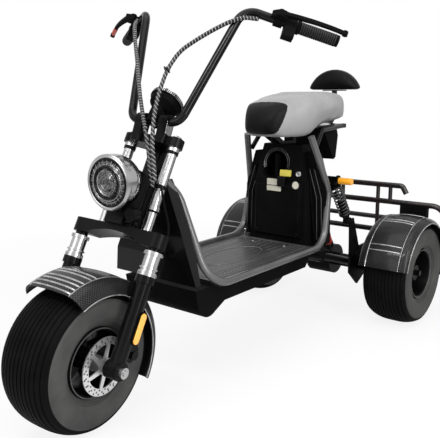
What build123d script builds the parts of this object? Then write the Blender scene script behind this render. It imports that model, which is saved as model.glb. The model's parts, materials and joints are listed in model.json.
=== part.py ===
"""Electric cargo trike: fat front tyre in a raked fork, tall handlebar, low footboard,
two driven rear wheels under wide fenders and a tube rack behind the seat.

Millimetres. X forward, Y to the vehicle's left, Z up from the floor.
The rear axle stands at x = 0 while the pieces are made; save() then moves every piece so
that the origin is on the floor under the middle of the vehicle.

The front end is modelled upright in the fork's own frame: origin at the front wheel's
centre, Z up along the fork, X forward. save_front() lays it back by RAKE and turns it by
STEER_REST, which is how the trike stands when it is parked.
"""
import os
from math import atan2, cos, degrees, hypot, radians, sin

from build123d import *

# ---- driving dimensions ---------------------------------------------------------------
WHEEL_RADIUS = 203.0        # fat 16 x 8 tyre, 406 mm over the tread
TYRE_WIDTH = 180.0
RIM_RADIUS = 100.0
WHEELBASE = 1344.0
HALF_TRACK = 354.0          # middle of a rear tyre from the centre plane
RAKE = 28.3                 # lean of the steering axis, degrees from upright
FORK_OFFSET = 44.0          # wheel centre ahead of the steering axis
STEER_REST = 6.0            # the parked trike is turned this far to its left
FLOOR_TOP = 343.0           # top of the footboard
FLOOR_HALF_WIDTH = 186.0    # centre line of the frame loops beside the footboard
SEAT_HEIGHT = 893.0
SEAT_HALF_WIDTH = 138.0
BAR_RISE = 370.0            # height of the grips above the handlebar's foot, along the fork
RACK_BEHIND = 345.0         # rear edge of the rack behind the rear axle

# ---- worked out from them -------------------------------------------------------------
FORK_SPACING = TYRE_WIDTH / 2 + 48.0        # a fork leg from the centre plane
FRONT_REACH = WHEELBASE + WHEEL_RADIUS
HOME_X = -(FRONT_REACH - RACK_BEHIND) / 2   # the rear axle from the origin
FENDER_WIDTH = TYRE_WIDTH + 34.0
BOX_TOP = SEAT_HEIGHT - 181.0               # top of the battery case
TUBE = 12.0                                 # radius of the frame tube
CLAMP_T = 640.0                             # top clamp, along the fork above the wheel
CROWN_T = 352.0                             # lower crown, same measure
BAR_T = CLAMP_T + 55.0                      # lowest part of the handlebar
BAR_RADIUS = 12.7                           # 25.4 mm handlebar tube

os.makedirs("parts", exist_ok=True)
HOME = Pos(HOME_X, 0, 0)
SIDES = (("left", 1), ("right", -1))


def save(piece, node):
    """Label a piece of the chassis, move it to the vehicle's origin and write it."""
    placed = piece.moved(HOME)
    placed.label = node
    export_step(placed, f"parts/{node}.step")


def rod(points, bends, radius, hollow=0.0):
    """A round bar through the points; bends holds the radius of each inner corner."""
    with BuildPart() as piece:
        with BuildLine() as path:
            if bends:
                FilletPolyline(*points, radius=bends)
            else:
                Line(*points)
        with BuildSketch(Plane(origin=path.line @ 0, z_dir=path.line % 0)):
            Circle(radius)
            if hollow:
                Circle(hollow, mode=Mode.SUBTRACT)
        sweep()
    return piece.part


def both_sides(piece):
    """The piece and its mirror image across the centre plane, as separate solids."""
    return Compound(children=[*piece.solids(), *mirror(piece, about=Plane.XZ).solids()])


# ---- wheels ---------------------------------------------------------------------------
TYRE_BEAD = 66.0            # half width of the tyre at the rim
TREAD_FLAT = 28.0           # half width of the flat middle of the tread
HUB_RADIUS = 30.0
SPOKE_HALF = 13.0           # half thickness of a rim's spokes
AXLE_RADIUS = 8.0
RUNNING_GAP = 0.05

with BuildPart() as tyre:
    with BuildSketch(Plane.YZ) as tyre_section:
        with BuildLine():
            half = TYRE_WIDTH / 2
            Polyline((0, RIM_RADIUS), (TYRE_BEAD, RIM_RADIUS), (half - 7, RIM_RADIUS + 14),
                     (half, RIM_RADIUS + 36), (half - 1, RIM_RADIUS + 58), (half - 9, WHEEL_RADIUS - 21),
                     (half - 29, WHEEL_RADIUS - 6), (TREAD_FLAT, WHEEL_RADIUS), (0, WHEEL_RADIUS))
            mirror(about=Plane.YZ)
        make_face()
    revolve(axis=Axis.Y)


def cast_rim(hub_half, bore, spokes=5):
    """Cast rim: a dished barrel with lips, a hub and tapered spokes between them."""
    with BuildPart() as rim:
        with BuildSketch(Plane.YZ):
            with BuildLine():
                Polyline((-TYRE_BEAD, RIM_RADIUS), (TYRE_BEAD, RIM_RADIUS),
                         (TYRE_BEAD + 7, RIM_RADIUS - 5), (TYRE_BEAD + 3, RIM_RADIUS - 11),
                         (24, RIM_RADIUS - 20), (-24, RIM_RADIUS - 20),
                         (-TYRE_BEAD - 3, RIM_RADIUS - 11), (-TYRE_BEAD - 7, RIM_RADIUS - 5), close=True)
            make_face()
        revolve(axis=Axis.Y)
        with BuildSketch(Plane.XZ.offset(-SPOKE_HALF)):
            with PolarLocations(0, spokes):
                Polygon((HUB_RADIUS - 4, -17), (RIM_RADIUS - 16, -11), (RIM_RADIUS - 16, 11),
                        (HUB_RADIUS - 4, 17), align=None)
        extrude(amount=2 * SPOKE_HALF)
        with Locations(Plane.XZ):
            Cylinder(HUB_RADIUS, 2 * hub_half)
            Cylinder(bore + RUNNING_GAP, 4 * hub_half, mode=Mode.SUBTRACT)
    return rim.part


def crosswise(x, z, y=0.0):
    """Plane across the vehicle through a place, for what turns or lies along Y."""
    return Plane(origin=(x, y, z), x_dir=(1, 0, 0), z_dir=(0, -1, 0))


def wheel_at(piece, side):
    return piece.moved(Pos(0, side * HALF_TRACK, WHEEL_RADIUS))


REAR_SPINDLE = 11.0
rear_rim = cast_rim(hub_half=52.0, bore=REAR_SPINDLE)
for name, side in SIDES:
    save(wheel_at(tyre.part, side), f"rear_tyre_{name}")
    save(wheel_at(rear_rim, side), f"rear_rim_{name}")

# ---- fork frame and its place on the vehicle -------------------------------------------
lean = radians(RAKE)
laid_back = Plane(origin=(WHEELBASE, 0, WHEEL_RADIUS), x_dir=(cos(lean), 0, sin(lean)),
                  z_dir=(-sin(lean), 0, cos(lean))).location
turned = Pos(-FORK_OFFSET, 0, 0) * Rot(0, 0, STEER_REST) * Pos(FORK_OFFSET, 0, 0)
# turning a leaned wheel tips it onto the edge of its tread, so the fork stands higher by this
axle_tip = sin(radians(STEER_REST)) * sin(lean)
tread_drop = TREAD_FLAT * axle_tip - WHEEL_RADIUS * (1 - (1 - axle_tip ** 2) ** 0.5)
centre_drop = FORK_OFFSET * (1 - cos(radians(STEER_REST))) * sin(lean)
settle = Pos(0, 0, tread_drop + centre_drop)
straight_place = settle * laid_back
front_place = straight_place * turned


def save_front(piece, node):
    """Write a piece of the front end, laid back and turned as the trike stands."""
    save(piece.moved(front_place), node)


# ---- front wheel -----------------------------------------------------------------------
DISC_RADIUS = 80.0
DISC_PLACE = 101.0          # middle of the disc from the centre plane
DISC_THICK = 3.5
DISC_BAND = 20.0            # width of the perforated ring
DISC_ARMS = 6
DISC_HOLES = 20
FRONT_HUB_HALF = 62.0

save_front(tyre.part, "front_tyre")
save_front(cast_rim(FRONT_HUB_HALF, AXLE_RADIUS), "front_rim")

with BuildPart() as disc:
    with BuildSketch(Plane.XZ.offset(-DISC_PLACE - DISC_THICK / 2)):
        Circle(DISC_RADIUS)
        Circle(DISC_RADIUS - DISC_BAND, mode=Mode.SUBTRACT)
        with PolarLocations(0, DISC_ARMS):
            Polygon((14, -8), (DISC_RADIUS - DISC_BAND + 3, 14), (DISC_RADIUS - DISC_BAND + 3, 25),
                    (14, 8), align=None)
        with PolarLocations(DISC_RADIUS - DISC_BAND / 2, DISC_HOLES):
            Circle(2.8, mode=Mode.SUBTRACT)
    extrude(amount=DISC_THICK)
    with Locations(Plane.XZ.offset(-(DISC_PLACE + DISC_THICK / 2 + FRONT_HUB_HALF) / 2)):
        Cylinder(22, DISC_PLACE + DISC_THICK / 2 - FRONT_HUB_HALF)
        Cylinder(AXLE_RADIUS + RUNNING_GAP, 3 * DISC_PLACE, mode=Mode.SUBTRACT)
save_front(disc.part, "brake_disc")

# ---- fork ------------------------------------------------------------------------------
LEG_RADIUS = 22.0
SLEEVE_RADIUS = 26.0
STANCHION = 18.0            # bright tube that slides into the leg
UPPER_TUBE = 15.0           # black tube between the lower crown and the upper clamp
CLAMP_HEIGHT = 26.0
SLEEVE_BASE = 255.0
SLEEVE_TOP = 322.0
CROWN_HEIGHT = 40.0

with BuildPart() as fork_leg:
    # the lower leg, its dust cap and the lug that takes the axle
    with Locations((0, FORK_SPACING, SLEEVE_BASE / 2 - 8)):
        Cylinder(LEG_RADIUS, SLEEVE_BASE - 16)
    with Locations((0, FORK_SPACING, SLEEVE_BASE - 10)):
        Cylinder(LEG_RADIUS + 5, 20)
    with Locations(Plane.XZ.offset(-FORK_SPACING)):
        Cylinder(25, 2 * LEG_RADIUS)
        Cylinder(AXLE_RADIUS, 60, mode=Mode.SUBTRACT)
save_front(both_sides(fork_leg.part), "fork_legs")

with BuildPart() as sleeve:
    with Locations((0, FORK_SPACING, (SLEEVE_BASE + SLEEVE_TOP) / 2)):
        Cylinder(SLEEVE_RADIUS - 4, SLEEVE_TOP - SLEEVE_BASE)
    for height, thick in ((SLEEVE_BASE + 6, 12), (SLEEVE_BASE + 21, 4), (SLEEVE_TOP - 5, 10)):
        with Locations((0, FORK_SPACING, height)):
            Cylinder(SLEEVE_RADIUS, thick)
    with Locations((0, FORK_SPACING, SLEEVE_TOP)):
        Cylinder(STANCHION + RUNNING_GAP, 2 * (SLEEVE_TOP - CROWN_T + CROWN_HEIGHT / 2 + 20), mode=Mode.SUBTRACT)
save_front(both_sides(sleeve.part), "fork_sleeves")

TUBE_X = -10.0              # the upper tubes stand inboard of the legs, just behind their line
TUBE_Y = TYRE_WIDTH / 2 - 10
CROWN_ARCH = 22.0           # the crown's underside rises this much between the legs
CROWN_BOSS = 27.0
STEM_RADIUS = 15.0
CAP_RISE = 18.0             # the tubes stand this far above the clamp

with BuildPart() as stanchion:
    with Locations((TUBE_X, TUBE_Y, (CROWN_T + CLAMP_T + CAP_RISE) / 2)):
        Cylinder(UPPER_TUBE, CLAMP_T - CROWN_T + CAP_RISE)
    for height in (CROWN_T + 90, CLAMP_T - CLAMP_HEIGHT / 2 - 6):
        with Locations((TUBE_X, TUBE_Y, height)):
            Cylinder(UPPER_TUBE + 3, 12)
save_front(both_sides(stanchion.part), "fork_tubes")

HEAD_GAP = 2.0
arch_half = FORK_SPACING - CROWN_BOSS - 8
arch_radius = (arch_half ** 2 + CROWN_ARCH ** 2) / (2 * CROWN_ARCH)
with BuildPart() as lower_crown:
    with BuildSketch(Plane.XY.offset(CROWN_T - CROWN_HEIGHT / 2)):
        for side in (-1, 1):
            with Locations((0, side * FORK_SPACING)):
                Circle(CROWN_BOSS)
        with Locations((-FORK_OFFSET, 0)):
            Circle(CROWN_BOSS + 4)
        make_hull()
    extrude(amount=CROWN_HEIGHT)
    arch_low = CROWN_T - CROWN_HEIGHT / 2 + CROWN_ARCH - arch_radius
    with Locations(Plane(origin=(0, 0, arch_low), z_dir=(1, 0, 0))):
        Cylinder(arch_radius, 400, mode=Mode.SUBTRACT)
    with Locations((-FORK_OFFSET, 0, (CROWN_T + CLAMP_T) / 2 + 6)):
        Cylinder(STEM_RADIUS, CLAMP_T - CROWN_T + 12)
    for side in (-1, 1):
        with Locations((TUBE_X, side * TUBE_Y, CROWN_T + 40)):
            Cylinder(UPPER_TUBE + RUNNING_GAP, 80, mode=Mode.SUBTRACT)
        # the top of each leg, which the crown grips
        with Locations((0, side * FORK_SPACING, CROWN_T - 10)):
            Cylinder(STANCHION, CROWN_HEIGHT + 20)
save_front(lower_crown.part, "lower_crown")

RISER_Y = 44.0              # handlebar clamps from the centre plane
BAR_X = 15.0                # the handlebar's foot stands ahead of the fork line
with BuildPart() as upper_clamp:
    with BuildSketch(Plane.XY.offset(CLAMP_T - CLAMP_HEIGHT / 2)):
        for side in (-1, 1):
            with Locations((TUBE_X, side * TUBE_Y)):
                Circle(UPPER_TUBE + 9)
        with Locations((-FORK_OFFSET, 0)):
            Circle(28)
        make_hull()
        for side in (-1, 1):
            with Locations((BAR_X - 8, side * RISER_Y)):
                RectangleRounded(40, 34, 8)
    extrude(amount=CLAMP_HEIGHT)
    with BuildSketch(Plane.XZ.offset(-RISER_Y - 14)):
        # side view of a riser: a post that widens into the ring around the handlebar
        with BuildLine():
            Polyline((BAR_X - 24, CLAMP_T), (BAR_X - 19, BAR_T), (BAR_X + 19, BAR_T), (BAR_X + 11, CLAMP_T), close=True)
        make_face()
        with Locations((BAR_X, BAR_T)):
            Circle(BAR_RADIUS + 8)
    extrude(amount=28)
    with BuildSketch(Plane.XZ.offset(RISER_Y - 14)):
        with BuildLine():
            Polyline((BAR_X - 24, CLAMP_T), (BAR_X - 19, BAR_T), (BAR_X + 19, BAR_T), (BAR_X + 11, CLAMP_T), close=True)
        make_face()
        with Locations((BAR_X, BAR_T)):
            Circle(BAR_RADIUS + 8)
    extrude(amount=28)
    with Locations((-FORK_OFFSET, 0, CLAMP_T + 14)):
        Cylinder(20, 28)
    with Locations((-FORK_OFFSET, 0, CLAMP_T - 40)):
        Cylinder(STEM_RADIUS + RUNNING_GAP, 104, mode=Mode.SUBTRACT)
    for side in (-1, 1):
        with Locations((TUBE_X, side * TUBE_Y, CLAMP_T)):
            Cylinder(UPPER_TUBE + RUNNING_GAP, 2 * CLAMP_HEIGHT, mode=Mode.SUBTRACT)
    with Locations(crosswise(BAR_X, BAR_T)):
        Cylinder(BAR_RADIUS + RUNNING_GAP, 4 * RISER_Y, mode=Mode.SUBTRACT)
save_front(upper_clamp.part, "upper_clamp")

# ---- front axle and brake --------------------------------------------------------------
with BuildPart() as front_axle:
    with Locations(Plane.XZ):
        Cylinder(AXLE_RADIUS, 2 * FORK_SPACING + 76)
    for side in (-1, 1):
        with Locations(Plane.XZ.offset(side * (FORK_SPACING + LEG_RADIUS + 6))):
            Cylinder(15, 12)
save_front(front_axle.part, "front_axle")

CALIPER_ANGLE = 43.0        # behind the fork leg, degrees from the fork line
CALIPER_HALF = 26.0
CALIPER_RADIUS = DISC_RADIUS - 2
with BuildPart() as caliper:
    spot = radians(CALIPER_ANGLE)
    seat_plane = Plane((0, DISC_PLACE, 0), x_dir=(-cos(spot), 0, -sin(spot)), z_dir=(0, 1, 0))
    with BuildSketch(seat_plane.offset(-16)):
        # two bodies side by side, joined by a bridge outside the disc
        with Locations((0, CALIPER_RADIUS)):
            RectangleRounded(72, 40, 12)
        with Locations((0, CALIPER_RADIUS + 14)):
            RectangleRounded(52, 28, 8)
    extrude(amount=40)
    with Locations(seat_plane.offset(30)):
        with Locations((-15, CALIPER_RADIUS), (15, CALIPER_RADIUS)):
            Cylinder(13, 14)
    with Locations(seat_plane):
        Cylinder(DISC_RADIUS + 2, DISC_THICK + 4, mode=Mode.SUBTRACT)
    # the arm that bolts it to the leg
    with Locations((-20, FORK_SPACING - 8, 84)):
        Box(36, 14, 30)
    add(fork_leg.part, mode=Mode.SUBTRACT)
save_front(caliper.part, "brake_caliper")

# ---- front fender and its stays --------------------------------------------------------
FENDER_GAP = 34.0           # fender crown above the tread
FENDER_FRONT = 52.0         # ends of the fender, degrees from the fork line
FENDER_BACK = -93.0
FENDER_SHEET = 3.0
FENDER_CREASE = 0.66        # place of the crease, as a part of the half width
FENDER_DROP = 46.0          # the skirts end this far below the crown


def fender_sheet(width, radius, drop, first, last):
    """An arched sheet over a wheel at the origin, from one angle to the other about Y.

    Its section is a gently rounded crown, a crease, and a skirt that curves down on each side.
    """
    rim = width / 2
    crease = rim * FENDER_CREASE
    with BuildPart() as sheet:
        with BuildSketch(Plane.YZ):
            with BuildLine():
                ThreePointArc((-crease, radius - 5), (0, radius), (crease, radius - 5))
                ThreePointArc((crease, radius - 5), ((crease + rim) / 2 + 5, radius - drop * 0.42), (rim, radius - drop))
                inner = FENDER_SHEET
                Line((rim, radius - drop), (rim - inner, radius - drop))
                ThreePointArc((rim - inner, radius - drop), ((crease + rim) / 2 + 2, radius - drop * 0.45 - inner),
                              (crease - inner, radius - 5 - inner))
                ThreePointArc((crease - inner, radius - 5 - inner), (0, radius - inner), (inner - crease, radius - 5 - inner))
                ThreePointArc((inner - crease, radius - 5 - inner), (-(crease + rim) / 2 - 2, radius - drop * 0.45 - inner),
                              (inner - rim, radius - drop))
                Line((inner - rim, radius - drop), (-rim, radius - drop))
                ThreePointArc((-rim, radius - drop), (-(crease + rim) / 2 - 5, radius - drop * 0.42), (-crease, radius - 5))
            make_face()
        revolve(axis=Axis.Y, revolution_arc=last - first)
    return sheet.part.rotate(Axis.Y, first)


front_crown = WHEEL_RADIUS + FENDER_GAP
front_fender = fender_sheet(FENDER_WIDTH, front_crown, FENDER_DROP, FENDER_BACK, FENDER_FRONT)
save_front(front_fender, "front_fender")

with BuildPart() as stay:
    stay_low = FENDER_WIDTH / 2 - 8
    stay_high = FORK_SPACING - LEG_RADIUS + 2
    with Locations((0, (stay_low + stay_high) / 2, 214)):
        Box(26, stay_high - stay_low, 40)
    add(front_fender, mode=Mode.SUBTRACT)
    add(fork_leg.part, mode=Mode.SUBTRACT)
    with Locations((0, 0, 214)):
        Box(400, 2 * (stay_low + 3), 100, mode=Mode.SUBTRACT)
save_front(both_sides(stay.part.solids().sort_by(SortBy.VOLUME)[-1]), "fender_stays")

with BuildPart() as reflector:
    with BuildSketch(Plane.XZ.offset(-FORK_SPACING - LEG_RADIUS + 1)):
        with Locations((-10, 118)):
            SlotOverall(84, 22, rotation=90)
    extrude(amount=-9)
    add(fork_leg.part, mode=Mode.SUBTRACT)
    fillet(reflector.faces().sort_by(Axis.Y)[-1].edges(), 2.5)
save_front(both_sides(reflector.part), "side_reflectors")

# ---- handlebar and its controls --------------------------------------------------------
GRIP_LENGTH = 122.0
bar_low = (BAR_X, 90.0, BAR_T)
bar_bend = (14.0, 180.0, BAR_T + BAR_RISE - 3)
bar_end = (-160.0, 405.0, BAR_T + BAR_RISE)
bar_points = [bar_end, bar_bend, bar_low]
bar_points += [(x, -y, z) for x, y, z in reversed(bar_points)]
handlebar = rod(bar_points, [52, 38, 38, 52], BAR_RADIUS)
save_front(handlebar, "handlebar")

grip_run = Vector(*bar_end) - Vector(*bar_bend)
grip_way = grip_run.normalized()


def along_bar(distance):
    """Place on the left grip's axis, this far in from the bar's end, Z along the bar."""
    return Plane(origin=Vector(*bar_end) - grip_way * distance, x_dir=(0, 0, 1), z_dir=grip_way)


with BuildPart() as grip:
    with Locations(along_bar(GRIP_LENGTH / 2 - 3)):
        Cylinder(17, GRIP_LENGTH)
    with Locations(along_bar(GRIP_LENGTH / 2)):
        Cylinder(BAR_RADIUS, GRIP_LENGTH, mode=Mode.SUBTRACT)
    with Locations(along_bar(GRIP_LENGTH - 2)):
        Cylinder(21, 8)
        Cylinder(BAR_RADIUS, 10, mode=Mode.SUBTRACT)
save_front(both_sides(grip.part), "grips")

POD_PLACE = GRIP_LENGTH + 22
LEVER_PLACE = GRIP_LENGTH + 58
with BuildPart() as pod:
    # a clamped switch housing: round above the bar, with a squarer body hanging below it
    with BuildSketch(along_bar(POD_PLACE - 17)):
        Circle(21)
        with Locations((-24, 4)):
            RectangleRounded(48, 34, 7)
        Circle(BAR_RADIUS + RUNNING_GAP, mode=Mode.SUBTRACT)
    extrude(amount=-34)
    with Locations(along_bar(POD_PLACE)):
        with Locations((-28, -13, 0)):
            Box(14, 8, 18)
save_front(both_sides(pod.part), "switch_pods")

# seen from above: distance in from the bar's end, distance ahead of the bar
controls_plane = Plane(origin=bar_end, x_dir=-grip_way, z_dir=(0, 0, 1))
PIVOT_AHEAD = 36.0
MIRROR_HOLE = 4.0           # radius and depth of the threaded hole for a mirror
MIRROR_DEPTH = 14.0
with BuildPart() as lever:
    with Locations(along_bar(LEVER_PLACE)):
        Cylinder(BAR_RADIUS + 6, 26)
    with BuildSketch(controls_plane.offset(-9)):
        # the perch that carries the lever's pivot
        with BuildLine():
            Polyline((LEVER_PLACE - 13, 8), (LEVER_PLACE - 20, PIVOT_AHEAD + 8), (LEVER_PLACE + 4, PIVOT_AHEAD + 14),
                     (LEVER_PLACE + 26, 26), (LEVER_PLACE + 13, 8), close=True)
        make_face()
    extrude(amount=18)
    with BuildSketch(controls_plane.offset(-5)):
        # the blade: wide at the pivot, bowed along the grip, with a ball at its end
        with BuildLine():
            Line((LEVER_PLACE - 4, PIVOT_AHEAD - 8), (LEVER_PLACE - 4, PIVOT_AHEAD + 12))
            ThreePointArc((LEVER_PLACE - 4, PIVOT_AHEAD + 12), (GRIP_LENGTH / 2 + 30, PIVOT_AHEAD + 24), (-4, PIVOT_AHEAD + 22))
            Line((-4, PIVOT_AHEAD + 22), (-4, PIVOT_AHEAD + 12))
            ThreePointArc((-4, PIVOT_AHEAD + 12), (GRIP_LENGTH / 2 + 30, PIVOT_AHEAD + 12), (LEVER_PLACE - 4, PIVOT_AHEAD - 8))
        make_face()
    extrude(amount=10)
    with Locations(controls_plane):
        with Locations((-6, PIVOT_AHEAD + 17, 0)):
            Cylinder(8, 13)
        # boss with the threaded hole that takes a mirror's stem
        with Locations((LEVER_PLACE, PIVOT_AHEAD - 12, 7)):
            Cylinder(9, 22)
            with Locations((0, 0, 11 - MIRROR_DEPTH / 2)):
                Cylinder(MIRROR_HOLE, MIRROR_DEPTH, mode=Mode.SUBTRACT)
    with Locations(along_bar(LEVER_PLACE)):
        Cylinder(BAR_RADIUS + RUNNING_GAP, 80, mode=Mode.SUBTRACT)
save_front(both_sides(lever.part), "brake_levers")

# ---- headlight, horn, speedometer ------------------------------------------------------
LAMP_RADIUS = 77.0
LAMP_LENGTH = 96.0
lamp_a, lamp_t = 110.0, 464.0
lamp_way = (cos(lean), 0, -sin(lean))
lamp_face = Plane(origin=(lamp_a, 0, lamp_t), x_dir=(0, 1, 0), z_dir=lamp_way)


def dome(half, rise):
    """Middle point of a shallow arc from (half, 0) to (0, rise) that is round about the axis."""
    radius = (half ** 2 + rise ** 2) / (2 * rise)
    return half / 2, rise - radius + (radius ** 2 - half ** 2 / 4) ** 0.5


with BuildPart() as lamp_shell:
    with BuildSketch(Plane.XZ):
        with BuildLine():
            back = LAMP_LENGTH - LAMP_RADIUS
            Polyline((0, -LAMP_LENGTH), (0, -10), (LAMP_RADIUS - 8, -10), (LAMP_RADIUS - 8, 4),
                     (LAMP_RADIUS, 0), (LAMP_RADIUS, -back))
            bulge = LAMP_RADIUS * sin(radians(45))
            ThreePointArc((LAMP_RADIUS, -back), (bulge, -back - bulge), (0, -LAMP_LENGTH))
        make_face()
    revolve(axis=Axis.Z)
save_front(lamp_shell.part.moved(lamp_face.location), "headlight_shell")

LENS_RISE = 11.0
with BuildPart() as lamp_lens:
    with BuildSketch(Plane.XZ):
        with BuildLine():
            rim = LAMP_RADIUS - 8
            Polyline((0, LENS_RISE), (0, -10), (rim, -10), (rim, 0))
            ThreePointArc((rim, 0), dome(rim, LENS_RISE), (0, LENS_RISE))
        make_face()
    revolve(axis=Axis.Z)
save_front(lamp_lens.part.moved(lamp_face.location), "headlight_lens")

horn_place = Plane((44, 60, CROWN_T + 52), z_dir=lamp_way)
with BuildPart() as lamp_bracket:
    with Locations((20, 0, CROWN_T + CROWN_HEIGHT / 2 + 80)):
        Box(50, 64, 160)
    with Locations((30, 46, CROWN_T + CROWN_HEIGHT / 2 + 12)):
        Box(14, 50, 8)
    add(lamp_shell.part.moved(lamp_face.location), mode=Mode.SUBTRACT)
    with Locations(horn_place):
        Cylinder(19, 90, mode=Mode.SUBTRACT)
save_front(lamp_bracket.part, "headlight_bracket")

with BuildPart() as horn:
    with Locations(horn_place):
        Cylinder(19, 22)
        with Locations((0, 0, -16)):
            Cylinder(9, 24)
save_front(horn.part, "horn")

GAUGE_RADIUS = 52.0
with BuildPart() as gauge:
    with BuildSketch(Plane.XZ):
        # half section of the pod: a rounded back, a waist under the rim, a flat glass
        with BuildLine():
            Polyline((0, -30), (24, -30), (GAUGE_RADIUS - 8, -12), (GAUGE_RADIUS - 4, 4), (GAUGE_RADIUS, 6),
                     (GAUGE_RADIUS, 16), (GAUGE_RADIUS - 6, 18), (GAUGE_RADIUS - 8, 14), (0, 14), close=True)
        make_face()
    revolve(axis=Axis.Z)
gauge_place = Plane((-4, 0, BAR_T + 62), x_dir=(0, 1, 0), z_dir=(-0.36, 0, 0.93))
with BuildPart() as gauge_pod:
    add(gauge.part.moved(gauge_place.location))
    with BuildSketch(Plane.XZ.offset(-18)):
        # the arm that holds it on the handlebar
        with BuildLine():
            Polyline((BAR_X - 20, BAR_T - 16), (BAR_X - 26, BAR_T + 40), (BAR_X + 12, BAR_T + 44), (BAR_X + 20, BAR_T - 6),
                     close=True)
        make_face()
    extrude(amount=36)
    add(handlebar, mode=Mode.SUBTRACT)
save_front(gauge_pod.part, "speedometer")

# ---- cables ----------------------------------------------------------------------------
CABLE = 6.0
left_cable = [(-8, 222, 1042), (26, 196, 1026), (37, 160, 1004), (40, 116, 976), (48, 80, 942), (56, 40, 900),
              (60, 20, 836), (60, 20, 758), (60, 33, 680), (56, 56, 606), (46, 78, 550), (38, 92, 506)]
right_cable = [(-8, -232, 1046), (24, -204, 1010), (37, -166, 948), (42, -118, 866), (44, -78, 790), (43.4, -42, 724),
               (38.7, -4, 660), (37.5, 32, 598), (32, 58, 540), (22, 78, 496)]


def cable(points, radius):
    """A cable held along its route, every corner as round as its two runs allow."""
    corners = []
    for before, here, after in zip(points, points[1:], points[2:]):
        leg_in = Vector(*here) - Vector(*before)
        leg_out = Vector(*after) - Vector(*here)
        turn = radians(leg_in.get_angle(leg_out))
        corners.append(0.45 * min(leg_in.length, leg_out.length) / abs(sin(turn / 2) / cos(turn / 2)))
    return rod(points, corners, radius)


hose_route = [(10, 98, 500), (-6, 118, 452), (-29.5, 138, 404), (-31.5, 146, 350), (-31.5, 148, 296), (-31, 146, 236),
              (-34, 138, 180), (-48, 126, 138), (-66, 114, 112)]
save_front(Compound(children=[cable(left_cable, CABLE), cable(right_cable, CABLE)]), "bar_cables")
save_front(cable(hose_route, 3.0), "brake_hose")

# ---- head tube and frame loops ---------------------------------------------------------
with BuildPart() as head_tube:
    head_low = CROWN_T + CROWN_HEIGHT / 2 + HEAD_GAP
    head_high = CLAMP_T - CLAMP_HEIGHT / 2 - HEAD_GAP
    with Locations((-FORK_OFFSET, 0, (head_low + head_high) / 2)):
        Cylinder(26, head_high - head_low)
        Cylinder(STEM_RADIUS + RUNNING_GAP, 2 * CLAMP_T, mode=Mode.SUBTRACT)
save(head_tube.part.moved(straight_place), "head_tube")

NECK_X = WHEELBASE - 310.0
LOOP_REAR = 345.0
LOOP_LOW = FLOOR_TOP + 2            # the loops run beside the footboard at this height
LOOP_TOP = SEAT_HEIGHT - 146        # their rear ends, under the seat
NECK_HIGH = LOOP_LOW + 327
loop_path = [(NECK_X, 26, NECK_HIGH), (NECK_X - 52, 56, NECK_HIGH - 72), (NECK_X - 34, FLOOR_HALF_WIDTH, LOOP_LOW),
             (LOOP_REAR, FLOOR_HALF_WIDTH, LOOP_LOW),
             (LOOP_REAR - 42, FLOOR_HALF_WIDTH - 8, (LOOP_LOW + LOOP_TOP) / 2),
             (LOOP_REAR + 32, SEAT_HALF_WIDTH + 4, LOOP_TOP)]
with BuildPart() as loop:
    add(rod(loop_path, [70, 84, 84, 130], TUBE))
    with Locations(straight_place * Pos(-FORK_OFFSET, 0, CLAMP_T - 120)):
        Cylinder(26, 400, mode=Mode.SUBTRACT)
save(loop.part, "frame_loop_left")
save(mirror(loop.part, about=Plane.XZ), "frame_loop_right")

SEAT_UNDER = SEAT_HEIGHT - 112.0
PAD_X = -40.0
PAD_LOW = SEAT_HEIGHT + 19.0
POST_BEND = 60.0
SEAT_POST_X = LOOP_REAR + 72
with BuildPart() as backrest_post:
    add(rod([(PAD_X, 0, PAD_LOW - 0.3), (PAD_X, 0, SEAT_UNDER - 10), (75, 0, SEAT_UNDER - 10)], [POST_BEND], 11))
    with Locations((PAD_X, 0, PAD_LOW - 2.3)):
        Box(40, 90, 4)

with BuildPart() as seat_frame:
    for side in (-1, 1):
        add(rod([(LOOP_REAR + 4, side * (SEAT_HALF_WIDTH + 2), LOOP_TOP - 57),
                 (LOOP_REAR - 60, side * (SEAT_HALF_WIDTH - 6), SEAT_UNDER - 16),
                 (80, side * (SEAT_HALF_WIDTH - 28), SEAT_UNDER - 8)], [40], 9))
    # seat pan, with a channel pressed along each edge, and the hinge post under the seat's nose
    with Locations(((LOOP_REAR - 45 + 75) / 2, 0, SEAT_UNDER - 8.3)):
        Box(LOOP_REAR - 45 - 75, 2 * (SEAT_HALF_WIDTH - 18), 16)
        for side in (-1, 1):
            with Locations((0, side * (SEAT_HALF_WIDTH - 50), -8)):
                Box(LOOP_REAR - 45 - 75, 14, 8, mode=Mode.SUBTRACT)
    with BuildSketch(Plane.XZ.offset(-20)):
        with BuildLine():
            Polyline((SEAT_POST_X - 16, SEAT_HEIGHT - 148.4), (SEAT_POST_X + 24, SEAT_HEIGHT - 147.4),
                     (SEAT_POST_X - 40, BOX_TOP), (LOOP_REAR - 62, BOX_TOP), (LOOP_REAR - 62, SEAT_UNDER - 12),
                     (LOOP_REAR - 48, SEAT_UNDER - 12), (LOOP_REAR - 40, BOX_TOP + 12), (SEAT_POST_X - 52, BOX_TOP + 12),
                     close=True)
        make_face()
    extrude(amount=40)
    add(loop.part, mode=Mode.SUBTRACT)
    add(mirror(loop.part, about=Plane.XZ, mode=Mode.PRIVATE), mode=Mode.SUBTRACT)
    add(backrest_post.part)
save(seat_frame.part, "seat_frame")

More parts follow.
